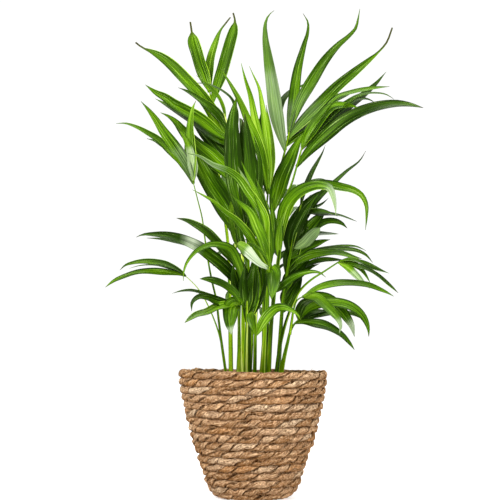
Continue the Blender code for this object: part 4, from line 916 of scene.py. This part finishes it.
def buildBasket():
    # The rows of rope in three pieces, the imported filling behind them, dark with painted shade, and the
    # loose fibres on them.
    look = basketLook
    centres, downs = ropeCentres()
    material = makeRopeMaterial()
    rows = [[ropePly(centre, down, ply, look["seed"] * 100 + k) for ply in (0, 1)]
            for k, (centre, down) in enumerate(zip(centres, downs))]
    settle(makePiece("ropeCore", *makeCore()), material, "seagrass_rope", "basket")
    upper, lower = look["rowSplits"]
    for name, chosen in (("ropeRowsUpper", rows[:upper]), ("ropeRowsMiddle", rows[upper:lower]),
                         ("ropeRowsLower", rows[lower:])):
        piece = makePiece(name, *joined([part for row in chosen for part in row]))
        settle(piece, material, "seagrass_rope", "basket")
    settle(makePiece("looseFibres", *makeFibres(centres)), material, "seagrass_rope")
    print("basket:", len(rows), "rows of rope")


buildBasket()


# Liner, grow pot and soil

potLook = {
    "sides": 128,
    "axisRadius": 0.0002,  # flat ends are tiny rings round the axis
    "linerTop": 0.159,
    "linerFloor": 0.0083,
    "linerFloorRadius": 0.0486,
    "linerGap": 0.0006,  # to the basket's wall
    "linerWrinkle": 0.0006,
    "foil": 0.0003,
    "potTop": 0.146,
    "potFloor": 0.0094,
    "potBaseRadius": 0.0455,
    "potRimRadius": 0.0775,
    "potWall": 0.0013,
    "potBottom": 0.0015,
    "lip": 0.0020,
    "lipHigh": 0.007,
    "soilSides": 180,
    "soilRings": 60,
    "soilTop": 0.138,
    "soilRadius": 0.0742,
    "soilLevel": 0.0735,  # the ground is level from this radius on
    "soilBase": [(0.0732, 0.126), (0.0440, 0.0115)],  # (radius, height) rows of the side
    "soilDome": 0.0012,
    "soilRough": 0.0016,
    "soilWaves": (70, 150, 320, 640),
    "crumbs": 420,
    "crumbReach": 0.070,
    "crumbSize": (0.0008, 0.0032),
    "seed": 11,
}
# A crumb's twelve corners and twenty faces.
golden = (1 + math.sqrt(5)) / 2
crumbCorners = np.array([(-1, golden, 0), (1, golden, 0), (-1, -golden, 0), (1, -golden, 0),
                         (0, -1, golden), (0, 1, golden), (0, -1, -golden), (0, 1, -golden),
                         (golden, 0, -1), (golden, 0, 1), (-golden, 0, -1), (-golden, 0, 1)]) / 1.9
crumbFaces = [(0, 11, 5), (0, 5, 1), (0, 1, 7), (0, 7, 10), (0, 10, 11), (1, 5, 9), (5, 11, 4),
              (11, 10, 2), (10, 7, 6), (7, 1, 8), (3, 9, 4), (3, 4, 2), (3, 2, 6), (3, 6, 8), (3, 8, 9),
              (4, 9, 5), (2, 4, 11), (6, 2, 10), (8, 6, 7), (9, 8, 1)]


def buildLiner():
    # A thin foil cup that follows the wall: its upper part is creased by upright waves.
    look = potLook
    rng = np.random.default_rng(look["seed"])
    heights = np.concatenate([[look["linerFloor"]], np.linspace(0.02, look["linerTop"], 40)])
    wall = outlineRadius(heights) - basketLook["wall"] - look["linerGap"]
    wall[0] = look["linerFloorRadius"]
    turn = np.arange(look["sides"] * 2) * math.pi / look["sides"]
    crease = ringNoise(turn, rng, 12, 46, look["linerWrinkle"] * 0.5) - look["linerWrinkle"] * 0.6
    edge = ringNoise(turn, rng, 3, 20, 0.0012)
    share = rise(heights, 0.06, 0.15)[:, None]
    outer = wall[:, None] + crease * share
    outside = heights[:, None] + edge * share**6
    inside = outside[::-1].copy()
    inside[-1] += look["foil"]
    radius = np.vstack([outer, outer[::-1] - look["foil"]])
    height = np.vstack([outside, inside])
    points = aroundAxis(radius, height, turn).reshape(-1, 3)
    uv = flowMap(turn * 0.09, height, radius.shape)
    material, tree, shader = newMaterial("clearFoil", Roughness=0.22, Transmission_Weight=0.55, IOR=1.35)
    coarse, fine = streaks(tree, 260.0, 60.0, 2.0)
    feed(tree, shader.inputs["Base Color"], ramp(tree, coarse, (0.3, 196, 202, 198), (0.7, 226, 230, 226)))
    bumped(tree, shader, fine, 0.3, 0.0006)
    settle(makePiece("foilLiner", points, tubeFaces(*radius.shape), uv), material, "clear_foil", "liner")


def buildPot():
    # A tapered cup with a rolled lip, turned from its outline: up inside, over the lip, down outside.
    look = potLook
    top, wall, lip, bottom = look["potTop"], look["potWall"], look["lip"], look["potFloor"]
    slope = (look["potRimRadius"] - look["potBaseRadius"]) / (top - bottom)
    foot = top - look["lipHigh"]
    ground = bottom + look["potBottom"]

    def outerAt(z):
        # The pot widens evenly from its base to its rim.
        return look["potBaseRadius"] + slope * (z - bottom)

    middle = outerAt(top) + (lip - wall) / 2
    half = (lip + wall) / 2
    flat = half * 0.8
    profile = [(look["axisRadius"], ground), (outerAt(bottom) - wall - 0.002, ground)]
    profile += [(outerAt(z) - wall, z) for z in np.linspace(bottom + 0.004, top - half, 12)]
    profile += [(middle - half * math.cos(t), top - flat + flat * math.sin(t))
                for t in np.linspace(0, math.pi, 9)]
    profile += [(outerAt(foot) + lip, foot + 0.0008), (outerAt(foot) + lip - 0.0006, foot),
                (outerAt(foot), foot)]
    profile += [(outerAt(z), z) for z in np.linspace(foot - 0.004, ground, 8)]
    profile += [(outerAt(bottom) - 0.001, bottom), (look["axisRadius"], bottom)]
    shape = (len(profile), look["sides"])
    points = turnedPoints(profile, look["sides"]).reshape(-1, 3)
    uv = flowMap(np.arange(look["sides"]) / look["sides"], np.array(profile)[:, 1:], shape)
    material, tree, shader = newMaterial("darkPlastic", Roughness=0.45, Specular_IOR_Level=0.4)
    place = objectPlace(tree)
    grain = noiseAt(tree, place, 900.0, 2.0)
    dust = noiseAt(tree, place, 45.0, 5.0)
    dusty = ramp(tree, dust, (0.40, 22, 22, 22), (0.62, 34, 32, 30), (0.80, 72, 62, 50))
    feed(tree, shader.inputs["Base Color"], dusty)
    feed(tree, shader.inputs["Roughness"], span(tree, dust, 0.4, 0.75, 0.38, 0.75))
    bumped(tree, shader, grain, 0.25, 0.0002)
    settle(makePiece("growPot", points, tubeFaces(*shape), uv), material, "dark_plastic", "grow_pot")


def soilHeight(x, y, rng):
    # Uneven ground: a low dome with waves of several lengths across it, lower the shorter they are.
    look = potLook
    radius = np.hypot(x, y)
    ground = look["soilDome"] * (1 - (radius / look["crumbReach"]) ** 2)
    longest = look["soilWaves"][0]
    for wave in look["soilWaves"]:
        size = look["soilRough"] * longest / (wave + longest) * 0.6
        for _ in range(4):
            direction = rng.uniform(0, 2 * math.pi)
            phase = rng.uniform(0, 2 * math.pi)
            slant = x * math.cos(direction) + y * math.sin(direction)
            ground = ground + size * np.sin(wave * slant + phase)
    return look["soilTop"] + ground * rise(look["soilLevel"] - radius, 0.0, 0.006)


def makeCrumb(rng):
    # A lump that is squeezed, roughened, turned and laid at a random place on the soil.
    look = potLook
    place = math.sqrt(rng.uniform(0, 1)) * look["crumbReach"]
    way = rng.uniform(0, 2 * math.pi)
    size = rng.uniform(*look["crumbSize"]) * np.array([1.0, rng.uniform(0.5, 1.0), rng.uniform(0.35, 0.8)])
    x, y, z = (crumbCorners * size * rng.uniform(0.75, 1.2, (len(crumbCorners), 1))).T
    spin = rng.uniform(0, 2 * math.pi)
    cos, sin = math.cos(spin), math.sin(spin)
    lump = np.stack([x * cos - y * sin, x * sin + y * cos, z], axis=1)
    spot = np.array([place * math.cos(way), place * math.sin(way), look["soilTop"] + 0.0006])
    return lump + spot, crumbFaces, lump[:, :2], {"chip": rng.uniform(0.2, 1.0)}


def buildSoil():
    # The top is a grid of rings with uneven ground, closed by a side wall and a bottom; crumbs lie on it.
    look = potLook
    rng = np.random.default_rng(look["seed"] + 1)
    sides = look["soilSides"]
    turn = np.arange(sides) * 2 * math.pi / sides
    radii = np.linspace(0.0004, 1.0, look["soilRings"])[:, None] * look["soilRadius"]
    x, y = radii * np.cos(turn), radii * np.sin(turn)
    top = np.stack([x, y, soilHeight(x, y, rng)], axis=-1)
    below = turnedPoints(look["soilBase"] + [(look["axisRadius"], look["soilBase"][-1][1])], sides)
    points = np.vstack([top, below]).reshape(-1, 3)
    faces = [face[::-1] for face in tubeFaces(len(points) // sides, sides)]
    parts = [(points, faces, points[:, :2], {"chip": 0.0})]
    parts += [makeCrumb(rng) for _ in range(look["crumbs"])]
    material, tree, shader = newMaterial("pottingSoil", Roughness=0.95, Specular_IOR_Level=0.2)
    place = objectPlace(tree)
    clods = noiseAt(tree, place, 260.0, 6.0)
    bits = addNode(tree, "ShaderNodeTexVoronoi", {"Vector": place, "Scale": 520.0}).outputs["Distance"]
    chip = pointValue(tree, "chip")
    dark = ramp(tree, clods, (0.32, 24, 17, 12), (0.5, 46, 34, 24), (0.66, 74, 54, 36))
    chips = ramp(tree, chip, (0.1, 40, 28, 20), (0.5, 78, 52, 32), (0.8, 112, 78, 48), (1.0, 150, 118, 82))
    share = span(tree, chip, 0.05, 0.2, 0.0, 0.8)
    feed(tree, shader.inputs["Base Color"], mixed(tree, share, dark, chips))
    bumped(tree, shader, maths(tree, "ADD", clods, bits), 0.8, 0.0012)
    settle(makePiece("pottingSoil", *joined(parts)), material, "potting_soil", "soil")


buildLiner()
buildPot()
buildSoil()
print("liner, pot and soil made")


# Stems and leaves

leafLook = {
    "stations": 30,  # rings from root to tip
    "across": 9,  # points from edge to edge on each face
    "thickness": 0.00036,
    "fold": 0.13,  # lift of the edges over the middle, as a share of the width
    "rootFold": 0.34,
    "widestAt": 0.38,
    "rootShare": 0.20,
    "bluntness": 2.6,
    "widthAdded": 0.0013,
    "threadWidth": 0.0062,
    # Leaves with an outline of their own: share of the length where they are widest, root share.
    "outlines": {("front_centre", 2): (0.95, 0.2), ("front_centre", 3): (0.2, 0.8),
                 ("low_front", 0): (0.9, 0.12), ("low_left", 3): (0.25, 0.75)},
    "ripple": 0.018,  # lengthwise pleats, as a share of the width
    "wave": 0.035,  # rise and fall of the edges, as a share of the width
    "rib": 0.00045,  # how far the rib stands out below
    "waver": 7,  # degrees that a leaf turns to and fro
    "inwardLean": 0.45,  # how far the leaves of an upright stem face the stem
    "seed": 21,
}
# Stretches of a leaf with a painted sheen, a pale painted highlight: leaf number, from and to share,
# strength.
sheenStretches = {
    "left_arch": [(1, 0.53, 0.62, 0.7)],
    "front_centre": [(2, 0.05, 0.72, 0.95), (7, 0.5, 1.0, 0.35), (5, 0.75, 1.0, 0.2)],
    "top_right": [(0, 0.0, 0.55, 0.22), (1, 0.0, 0.25, 0.12), (2, 0.0, 0.3, 0.06), (3, 0.0, 0.3, 0.08)],
    "far_left": [(4, 0.0, 0.6, 0.5), (0, 0.0, 0.4, 0.12)],
    "right_arch": [(5, 0.74, 1.0, 0.5)],
    "low_right": [(5, 0.78, 1.0, 0.45), (6, 0.76, 1.0, 0.45)],
    "right_whip": [(0, 0.4, 1.0, 0.35)],
    "right_dark": [(7, 0.0, 1.0, 0.2)],
    "low_left": [(3, 0.8, 1.0, 0.6)],
}
stemLook = {
    "stations": 56,
    "sides": 14,
    "foot": 0.118,
    "footStations": 7,  # rings of the upright part in the soil
    "topShare": 0.36,
    "sheathTo": 0.30,  # share of the stem that is wrapped in its sheath
    "branchShare": 0.72,  # thickness of a second stem beside the first
    "tone": 0.52,
    "tones": {"far_left": 0.36, "top_left": 0.5, "low_left": 0.42, "upper_left": 0.74, "left_arch": 0.64,
              "centre": 0.24, "spear": 0.32, "low_front": 0.45, "front_centre": 0.52, "top_right": 0.42,
              "right_arch": 0.16, "right_whip": 0.2, "right_dark": 0.34, "low_right": 0.4, "back_low": 0.5},
}


def fromGrid(columns, rows, depths):
    # Points of the front view placed along their sight lines at their depths.
    along = sight["eyeDistance"] + depths
    climb = along * np.tan(sightTilt + np.arctan((sight["middleRow"] - rows) / sight["steps"]))
    reach = math.cos(sightTilt) * along + math.sin(sightTilt) * climb
    side = (columns - sight["middleColumn"]) / sight["steps"] * reach
    return np.stack([sight["eyeSide"] + side, depths, sight["eyeHeight"] + climb], axis=-1)


def through(points, shares):
    # A smooth line through the points, read at shares of its drawn length.
    p = np.array(points, float)
    s = lengthAlong(p[:, :2])
    slope = np.gradient(p, s, axis=0) if len(p) > 2 else np.repeat([(p[1] - p[0]) / s[1]], 2, axis=0)
    at = np.clip(shares, 0.0, 1.0) * s[-1]
    i = np.clip(np.searchsorted(s, at, side="right") - 1, 0, len(s) - 2)
    h = (s[i + 1] - s[i])[:, None]
    u = (at - s[i])[:, None] / h
    return ((2 * u**3 - 3 * u**2 + 1) * p[i] + (u**3 - 2 * u**2 + u) * h * slope[i]
            + (3 * u**2 - 2 * u**3) * p[i + 1] + (u**3 - u**2) * h * slope[i + 1])


def layerDepth(shoot, rows):
    # Depth of a leafy stem's own layer at a row: its foot, and its lean with height.
    height = np.maximum((sight["rimRow"] - rows) * sight["stepSize"], 0.0)
    return shoot["foot"] / 1000 + shoot["lean"] * height


def withDepth(stem):
    # The drawn points of a stem with an added depth in each.
    return [(p[0], p[1], p[2] if len(p) > 2 else 0.0) for p in stem]


def bladeLine(shoot, blade, shares):
    # Middle line of a leaf: its root is moved onto the nearest stem.
    drawn = list(blade[0])
    read = np.vstack([through(withDepth(stem), np.linspace(0.0, 1.0, 161)) for stem in shoot["stems"]])
    nearest = read[np.argmin((read[:, 0] - drawn[0][0]) ** 2 + (read[:, 1] - drawn[0][1]) ** 2)]
    drawn[0] = (nearest[0], nearest[1])
    q = through(drawn, shares)
    added = nearest[2] / 1000 + blade[1] / 1000 * shares**1.5
    return fromGrid(q[:, 0], q[:, 1], layerDepth(shoot, q[:, 1]) + added)


def bladeWidth(blade, shares, widest, rootShare):
    # Width along a leaf: it widens by a quarter wave from its root, then narrows to a point.
    # A leaf with a body share ends there and goes on as a thread.
    look = leafLook
    blunt = blade[6] if len(blade) > 6 else look["bluntness"]
    body = blade[7] if len(blade) > 7 else 1.0
    t = np.minimum(shares / body, 1.0)
    opening = np.sin(np.minimum(t / widest, 1.0) * math.pi / 2)
    share = rootShare + (1 - rootShare) * opening
    thread = look["threadWidth"] * (1 - 0.6 * shares) if body < 1 else 0.0006
    return np.maximum((blade[2] / 1000 + look["widthAdded"]) * share * (1 - t**blunt) ** 1.05, thread)


def bladeAxes(shoot, blade, line, shares, rng):
    # Directions across and out of the upper face: the leaf turns about its line and wavers a little.
    look = leafLook
    along = unit(np.gradient(line, axis=0))
    waver = np.radians(look["waver"]) * np.sin(2 * math.pi * (1.3 * shares + rng.uniform(0, 1)))
    waver = waver * rise(shares, 0.0, 0.4)
    if shoot.get("upright"):
        reach = (line[-1] - line[0]) / np.linalg.norm(line[-1] - line[0])
        facing = np.array([-look["inwardLean"] * reach[0], -look["inwardLean"] * reach[1], 1.0])
        front = unit(facing - along * (along @ facing)[:, None])
        side = np.cross(along, front)
        turn = waver
    else:
        heading = 1.0 if blade[0][-1][0] > blade[0][0][0] else -1.0
        side = unit(np.stack([along[:, 2], np.zeros(len(along)), -along[:, 0]], axis=1))
        front = np.cross(side, along)
        side = -heading * side
        turn = np.radians(blade[3] + (blade[4] - blade[3]) * shares) + waver
    normal = front * np.cos(turn)[:, None] + side * np.sin(turn)[:, None]
    return np.cross(along, normal), normal


def leafValues(shoot, blade, pale, shares, places, rng):
    # What the material reads: a lightness with painted shade that differs by half and painted light and
    # shade that wander along the leaf, painted sheen at the root and on the sheen stretches, painted shade
    # on the leaves of upright stems, the lower face, the dry tip and a number of the leaf's own. Places
    # run round the leaf.
    # Painted shade: one half of the folded leaf lighter and the other darker, as the light falls on the fold;
    # painted light and shade also wander along the leaf.
    halfShade = rng.uniform(-0.09, 0.09) * np.sign(np.round(places, 2))[None, :]
    shadeAlong = 0.11 * np.sin(2 * math.pi * (shares * rng.uniform(0.8, 1.6) + rng.uniform(0, 1)))[:, None]
    # Painted sheen near the root.
    rootSheen = 0.14 * (1 - rise(shares, 0.0, 0.16))[:, None]
    # Painted shade on the leaves of upright stems, which stand deep in the plant.
    tone = blade[5] + halfShade + shadeAlong + rootSheen + rng.normal(0, 0.03) - (0.16 if shoot.get("upright") else 0.0)
    dryStart = 1 - rng.uniform(0.02, 0.09)
    dryStrength = rng.uniform(0.1, 1.0)
    if len(blade) > 7:
        dryStart, dryStrength = blade[7] - 0.08, 0.9
    # Painted sheen along the listed stretches.
    sheen = np.zeros(len(shares))
    for start, end, strength in pale:
        begun = rise(shares, start - 0.05, start + 0.05)
        sheen += begun * rise(-shares, -end - 0.05, -end + 0.05) * strength
    values = {"tone": np.clip(tone, 0, 1),
              "pale": sheen[:, None],
              "under": np.arange(len(places)) >= len(places) // 2,
              "dry": rise(shares, dryStart, min(dryStart + 0.12, 1.0))[:, None] * dryStrength,
              "leafSeed": rng.uniform(0, 90)}
    return {key: np.broadcast_to(value, (len(shares), len(places))).ravel() for key, value in values.items()}


def makeLeaf(shoot, blade, pale, outline, rng):
    # A thin closed blade: a folded and pleated upper face, the same lower face with its rib, thin edges.
    look = leafLook
    shares = np.linspace(0.0, 1.0, look["stations"]) ** 1.06
    shares[-1] = 0.996
    down = shares[:, None]
    line = bladeLine(shoot, blade, shares)
    across, normal = bladeAxes(shoot, blade, line, shares, rng)
    width = bladeWidth(blade, shares, *outline)[:, None]
    # Places from edge to edge, closer together near the edges.
    u = np.sin(np.linspace(-1, 1, look["across"]) * math.pi / 2 * 0.92) / math.sin(math.pi / 2 * 0.92)
    # The lift over the middle line: the fold, the pleats, and the waves of either edge.
    fold = look["fold"] + (look["rootFold"] - look["fold"]) * (1 - rise(down, 0.0, 0.3))
    lift = fold * width * (np.sqrt(u**2 + 0.006) - 0.6)
    lift = lift + look["ripple"] * width * np.cos(2.5 * math.pi * u) * (1 - u**2)
    phase = rng.uniform(0, 2 * math.pi, 2)
    sway = np.sin(9 * down + np.where(u > 0, *phase))
    lift = lift + look["wave"] * width * u**2 * sway * rise(down, 0.1, 0.4)
    # The two faces, and the rib under the middle.
    thick = look["thickness"] * (1 - 0.4 * down) * (1 - 0.55 * u**2) / 2
    rib = look["rib"] * np.exp(-(u / 0.09) ** 2) * (1 - down) ** 0.7
    middle = line[:, None] + across[:, None] * (u * width / 2)[..., None]
    upper = middle + normal[:, None] * (lift + thick)[..., None]
    lower = middle + normal[:, None] * (lift - thick - rib)[..., None]
    ring = np.concatenate([upper[:, ::-1], lower], axis=1)
    places = np.concatenate([u[::-1], u])
    shape = ring.shape[:2]
    uv = flowMap(places / 2 + 0.5, lengthAlong(line)[:, None], shape)
    points = ring.reshape(-1, 3)
    values = leafValues(shoot, blade, pale, shares, places, rng)
    return points, outwardFaces(points, tubeFaces(*shape)), uv, values


def outwardFaces(points, faces):
    # The faces, turned round where the volume inside them is negative.
    quads = np.array([face for face in faces if len(face) == 4])
    a, b, c, d = (points[quads[:, i]] for i in range(4))
    volume = (np.einsum("ij,ij->i", a, np.cross(b, c)) + np.einsum("ij,ij->i", a, np.cross(c, d))).sum()
    return faces if volume > 0 else [face[::-1] for face in faces]


def makeStem(shoot, stem, rooted, tone, rng):
    # A stem: a tube along its line that thins upwards, with a groove and a sheath at its foot.
    look = stemLook
    shares = np.linspace(0.0, 1.0, look["stations"])
    q = through(withDepth(stem), shares)
    line = fromGrid(q[:, 0], q[:, 1], layerDepth(shoot, q[:, 1]) + q[:, 2] / 1000)
    radius = shoot["thick"] / 1000
    radii = radius * (1 - (1 - look["topShare"]) * shares**1.2)
    if rooted:
        below = np.repeat(line[:1], look["footStations"], axis=0)
        below[:, 2] = np.linspace(look["foot"], line[0, 2], look["footStations"] + 1)[:-1]
        line = np.vstack([below, line])
        radii = np.concatenate([np.full(look["footStations"], radius), radii])
    else:
        radii = radii * look["branchShare"]
    length = lengthAlong(line)
    share = length / length[-1]
    sheath = 1 + 0.10 * (1 - rise(share, look["sheathTo"] - 0.03, look["sheathTo"] + 0.03))
    tangent = unit(np.gradient(line, axis=0))
    across = unit(np.array([1.0, 0.0, 0.0]) - tangent * tangent[:, :1])[:, None]
    other = np.cross(tangent[:, None], across)
    turn = np.arange(look["sides"]) * 2 * math.pi / look["sides"]
    away = (turn - rng.uniform(0, 2 * math.pi) + math.pi) % (2 * math.pi) - math.pi
    groove = 1 - 0.16 * np.exp(-(away / 0.45) ** 2)
    size = (radii * (sheath if rooted else 1.0))[:, None] * groove
    ring = across * (np.cos(turn) * size)[..., None] + other * (np.sin(turn) * size)[..., None]
    points = (line[:, None] + ring).reshape(-1, 3)
    uv = flowMap(turn / (2 * math.pi), length[:, None], size.shape)
    values = {"tone": tone + rng.normal(0, 0.05),
              "share": np.repeat(share, look["sides"]),
              "leafSeed": rng.uniform(0, 90)}
    return points, outwardFaces(points, tubeFaces(*size.shape)), uv, values


def makeLeafMaterial():
    # Green leaf: parallel veins, a paler rib, a duller underside, dark borders, a painted highlight on one
    # edge of some leaves, painted sheen and painted highlight streaks, and a dry tip.
    material, tree, shader = newMaterial("palmLeaf", Roughness=0.42, Specular_IOR_Level=0.16,
                                         Specular_Tint=(0.7, 1.0, 0.3, 1.0))
    seed = pointValue(tree, "leafSeed")
    coarse, fine = streaks(tree, 11.0, 7.0, seed)
    place = addNode(tree, "ShaderNodeSeparateXYZ", {"Vector": flowPlace(tree)}).outputs["X"]
    fromRib = maths(tree, "ABSOLUTE", maths(tree, "SUBTRACT", place, 0.5))
    rib = span(tree, fromRib, 0.012, 0.06, 0.14, 0.0)
    veins = centred(tree, coarse, 0.49, 0.95)
    hair = centred(tree, fine, 0.49, 1.9)
    border = span(tree, fromRib, 0.26, 0.48, 0.0, -0.22)
    # Painted highlight: a thin bright line along one edge of some leaves.
    chosen = maths(tree, "GREATER_THAN", maths(tree, "FRACT", maths(tree, "MULTIPLY", seed, 7.31)), 0.45)
    rimHighlight = maths(tree, "MULTIPLY", chosen, span(tree, place, 0.93, 0.96, 0.0, 0.75))
    tone = pointValue(tree, "tone")
    for part in (veins, hair, rib, border, rimHighlight):
        tone = maths(tree, "ADD", tone, part)
    green = ramp(tree, tone, (0.0, 18, 40, 0), (0.2, 36, 68, 0), (0.42, 60, 98, 0), (0.65, 92, 136, 6),
                 (0.85, 120, 164, 20), (1.0, 156, 190, 60))
    underShare = maths(tree, "MULTIPLY", pointValue(tree, "under"), 0.25)
    under = mixed(tree, underShare, green, shade(112, 146, 72))
    # Painted sheen: pale stretches where the leaf's gloss would catch the lamps.
    sheenNoise = span(tree, coarse, 0.35, 0.6, 0.35, 1.0)
    sheenShare = maths(tree, "MULTIPLY", pointValue(tree, "pale"), sheenNoise)
    sheened = mixed(tree, sheenShare, under, shade(214, 226, 196))
    # Painted highlight: thin pale streaks along the fine veins.
    highlightStreak = span(tree, fine, 0.60, 0.70, 0.0, 0.6)
    highlightStreakShare = maths(tree, "MULTIPLY", highlightStreak, span(tree, coarse, 0.42, 0.56))
    highlightStreaked = mixed(tree, highlightStreakShare, sheened, shade(186, 206, 138))
    dry = mixed(tree, pointValue(tree, "dry"), highlightStreaked, shade(58, 50, 26))
    feed(tree, shader.inputs["Base Color"], dry)
    feed(tree, shader.inputs["Roughness"], span(tree, fine, 0.3, 0.7, 0.36, 0.52))
    bumped(tree, shader, maths(tree, "ADD", coarse, maths(tree, "MULTIPLY", fine, 0.5)), 0.35, 0.0006)
    return material


def makeStemMaterial():
    # Smooth stem: lengthwise bands from dark to yellow-green, rims darkened as painted shade and brownish
    # flecks low down.
    material, tree, shader = newMaterial("palmStem", Roughness=0.42, Specular_IOR_Level=0.12,
                                         Specular_Tint=(0.75, 1.0, 0.35, 1.0))
    seed = pointValue(tree, "leafSeed")
    share = pointValue(tree, "share")
    coarse, fine = streaks(tree, 4.5, 8.0, seed)
    bands = centred(tree, coarse, 0.5, 2.8)
    hair = centred(tree, fine, 0.5, 0.7)
    # Painted shade: the stem darker towards its rims, where it turns away from view.
    facing = addNode(tree, "ShaderNodeLayerWeight", {"Blend": 0.35}).outputs["Facing"]
    tone = maths(tree, "ADD", maths(tree, "ADD", pointValue(tree, "tone"), bands), hair)
    tone = maths(tree, "SUBTRACT", tone, span(tree, facing, 0.35, 0.95, 0.0, 0.5))
    green = ramp(tree, tone, (0.0, 34, 60, 0), (0.3, 76, 118, 0), (0.55, 114, 154, 4), (0.8, 162, 190, 38),
                 (1.0, 222, 234, 130))
    flecks = noiseAt(tree, objectPlace(tree), 420.0, 3.0)
    low = span(tree, share, 0.05, 0.55, 0.65, 0.0)
    brownShare = maths(tree, "MULTIPLY", span(tree, flecks, 0.56, 0.70), low)
    brown = mixed(tree, brownShare, green, shade(112, 92, 12))
    feed(tree, shader.inputs["Base Color"], brown)
    feed(tree, shader.inputs["Roughness"], span(tree, fine, 0.3, 0.7, 0.36, 0.55))
    bumped(tree, shader, coarse, 0.4, 0.0008)
    return material


def sharpEdges(piece, corners):
    # Marks the two thin edges of each leaf sharp: the lines where its faces meet its sides.
    mesh = piece.data
    ends = np.empty(len(mesh.edges) * 2, np.int32)
    mesh.edges.foreach_get("vertices", ends)
    ends = ends.reshape(-1, 2) % corners
    half = corners // 2
    onEdge = np.isin(ends, [0, half - 1, half, corners - 1]).all(axis=1) & (ends[:, 0] == ends[:, 1])
    attribute = mesh.attributes.new("sharp_edge", "BOOLEAN", "EDGE")
    attribute.data.foreach_set("value", onEdge)


def buildPalm():
    # A piece of stems and a piece of leaves for each leafy stem.
    leafMaterial = makeLeafMaterial()
    stemMaterial = makeStemMaterial()
    for number, (name, shoot) in enumerate(shoots.items()):
        rng = np.random.default_rng(leafLook["seed"] * 100 + number)
        tone = stemLook["tones"].get(name, stemLook["tone"])
        stems = [makeStem(shoot, stem, k == 0, tone, rng) for k, stem in enumerate(shoot["stems"])]
        piece = makePiece("stem_" + name, *joined(stems))
        settle(piece, stemMaterial, "palm_leaf", "leafy_stem_" + name)
        leaves = []
        for k, blade in enumerate(shoot["blades"]):
            pale = [stretch[1:] for stretch in sheenStretches.get(name, []) if stretch[0] == k]
            outline = leafLook["outlines"].get((name, k), (leafLook["widestAt"], leafLook["rootShare"]))
            leaves.append(makeLeaf(shoot, blade, pale, outline, rng))
        piece = makePiece("leaves_" + name, *joined(leaves))
        sharpEdges(piece, leafLook["across"] * 2)
        settle(piece, leafMaterial, "palm_leaf", "leafy_stem_" + name)
    print("palm:", len(shoots), "leafy stems,", sum(len(s["blades"]) for s in shoots.values()), "leaves")


buildPalm()


# Floor, light and camera

studioLook = {
    "floorSize": 12.0,
    "floorGlow": (0.6, 1.0),  # near the foot and away from it
    "skyForEye": 1.05,
    "skyLight": 0.3,
    "lamps": [  # name, place, aim, size, watts
        ("keyLamp", (-1.1, -1.7, 1.6), (0.0, 0.0, 0.3), 0.9, 50),
        ("fillLamp", (1.6, -1.3, 0.9), (0.0, 0.0, 0.3), 1.2, 20),
        ("topLamp", (0.2, 0.2, 2.2), (0.0, 0.0, 0.4), 1.3, 26),
        ("backLamp", (0.5, 1.7, 1.3), (0.0, 0.0, 0.4), 1.2, 16),
    ],
}


def aimed(place, target):
    # The turn that points a lamp from its place to its target.
    return (Vector(target) - Vector(place)).to_track_quat("-Z", "Y").to_euler()


def buildStudio():
    # A wide white floor, a white surround and soft lamps.
    look = studioLook
    half = look["floorSize"] / 2
    corners = np.array([(-half, -half, 0.0), (half, -half, 0.0), (half, half, 0.0), (-half, half, 0.0)])
    floor = makePiece("floor", corners - [0, 0, 0.0003], [[0, 1, 2, 3]])
    material, tree, shader = newMaterial("paleFloor", Roughness=0.9, Specular_IOR_Level=0.1,
                                         Base_Color=(0.82, 0.82, 0.82, 1), Emission_Color=(1, 1, 1, 1))
    sources = {"Vector": objectPlace(tree)}
    away = addNode(tree, "ShaderNodeVectorMath", sources, operation="LENGTH").outputs["Value"]
    feed(tree, shader.inputs["Emission Strength"], span(tree, away, 0.2, 0.6, *look["floorGlow"]))
    floor.data.materials.append(material)
    world = bpy.data.worlds.new("studio")
    bpy.context.scene.world = world
    world.use_nodes = True
    tree = world.node_tree
    background = tree.nodes["Background"]
    seen = addNode(tree, "ShaderNodeLightPath", {}).outputs["Is Camera Ray"]
    feed(tree, background.inputs["Strength"], span(tree, seen, 0.0, 1.0, look["skyLight"], look["skyForEye"]))
    background.inputs["Color"].default_value = (1, 1, 1, 1)
    for name, place, aim, size, watts in look["lamps"]:
        data = bpy.data.lights.new(name, "AREA")
        data.shape = "DISK"
        data.size = size
        data.energy = watts
        lamp = bpy.data.objects.new(name, data)
        lamp.location = place
        lamp.rotation_euler = aimed(place, aim)
        bpy.context.scene.collection.objects.link(lamp)
    bpy.context.scene.view_settings.view_transform = "Standard"


def buildCamera():
    # The camera at the front view's eye point, tilted up. Its lens is the grid's steps times the
    # sensor's width over the grid's size.
    data = bpy.data.cameras.new("camera")
    data.sensor_width = 36
    data.lens = sight["steps"] * data.sensor_width / sight["gridSize"]
    data.clip_start = 0.05
    camera = bpy.data.objects.new("camera", data)
    camera.location = (sight["eyeSide"], -sight["eyeDistance"], sight["eyeHeight"])
    camera.rotation_euler = (math.pi / 2 + sightTilt, 0, 0)
    bpy.context.scene.collection.objects.link(camera)
    bpy.context.scene.camera = camera


buildStudio()
buildCamera()
print("studio and camera made")
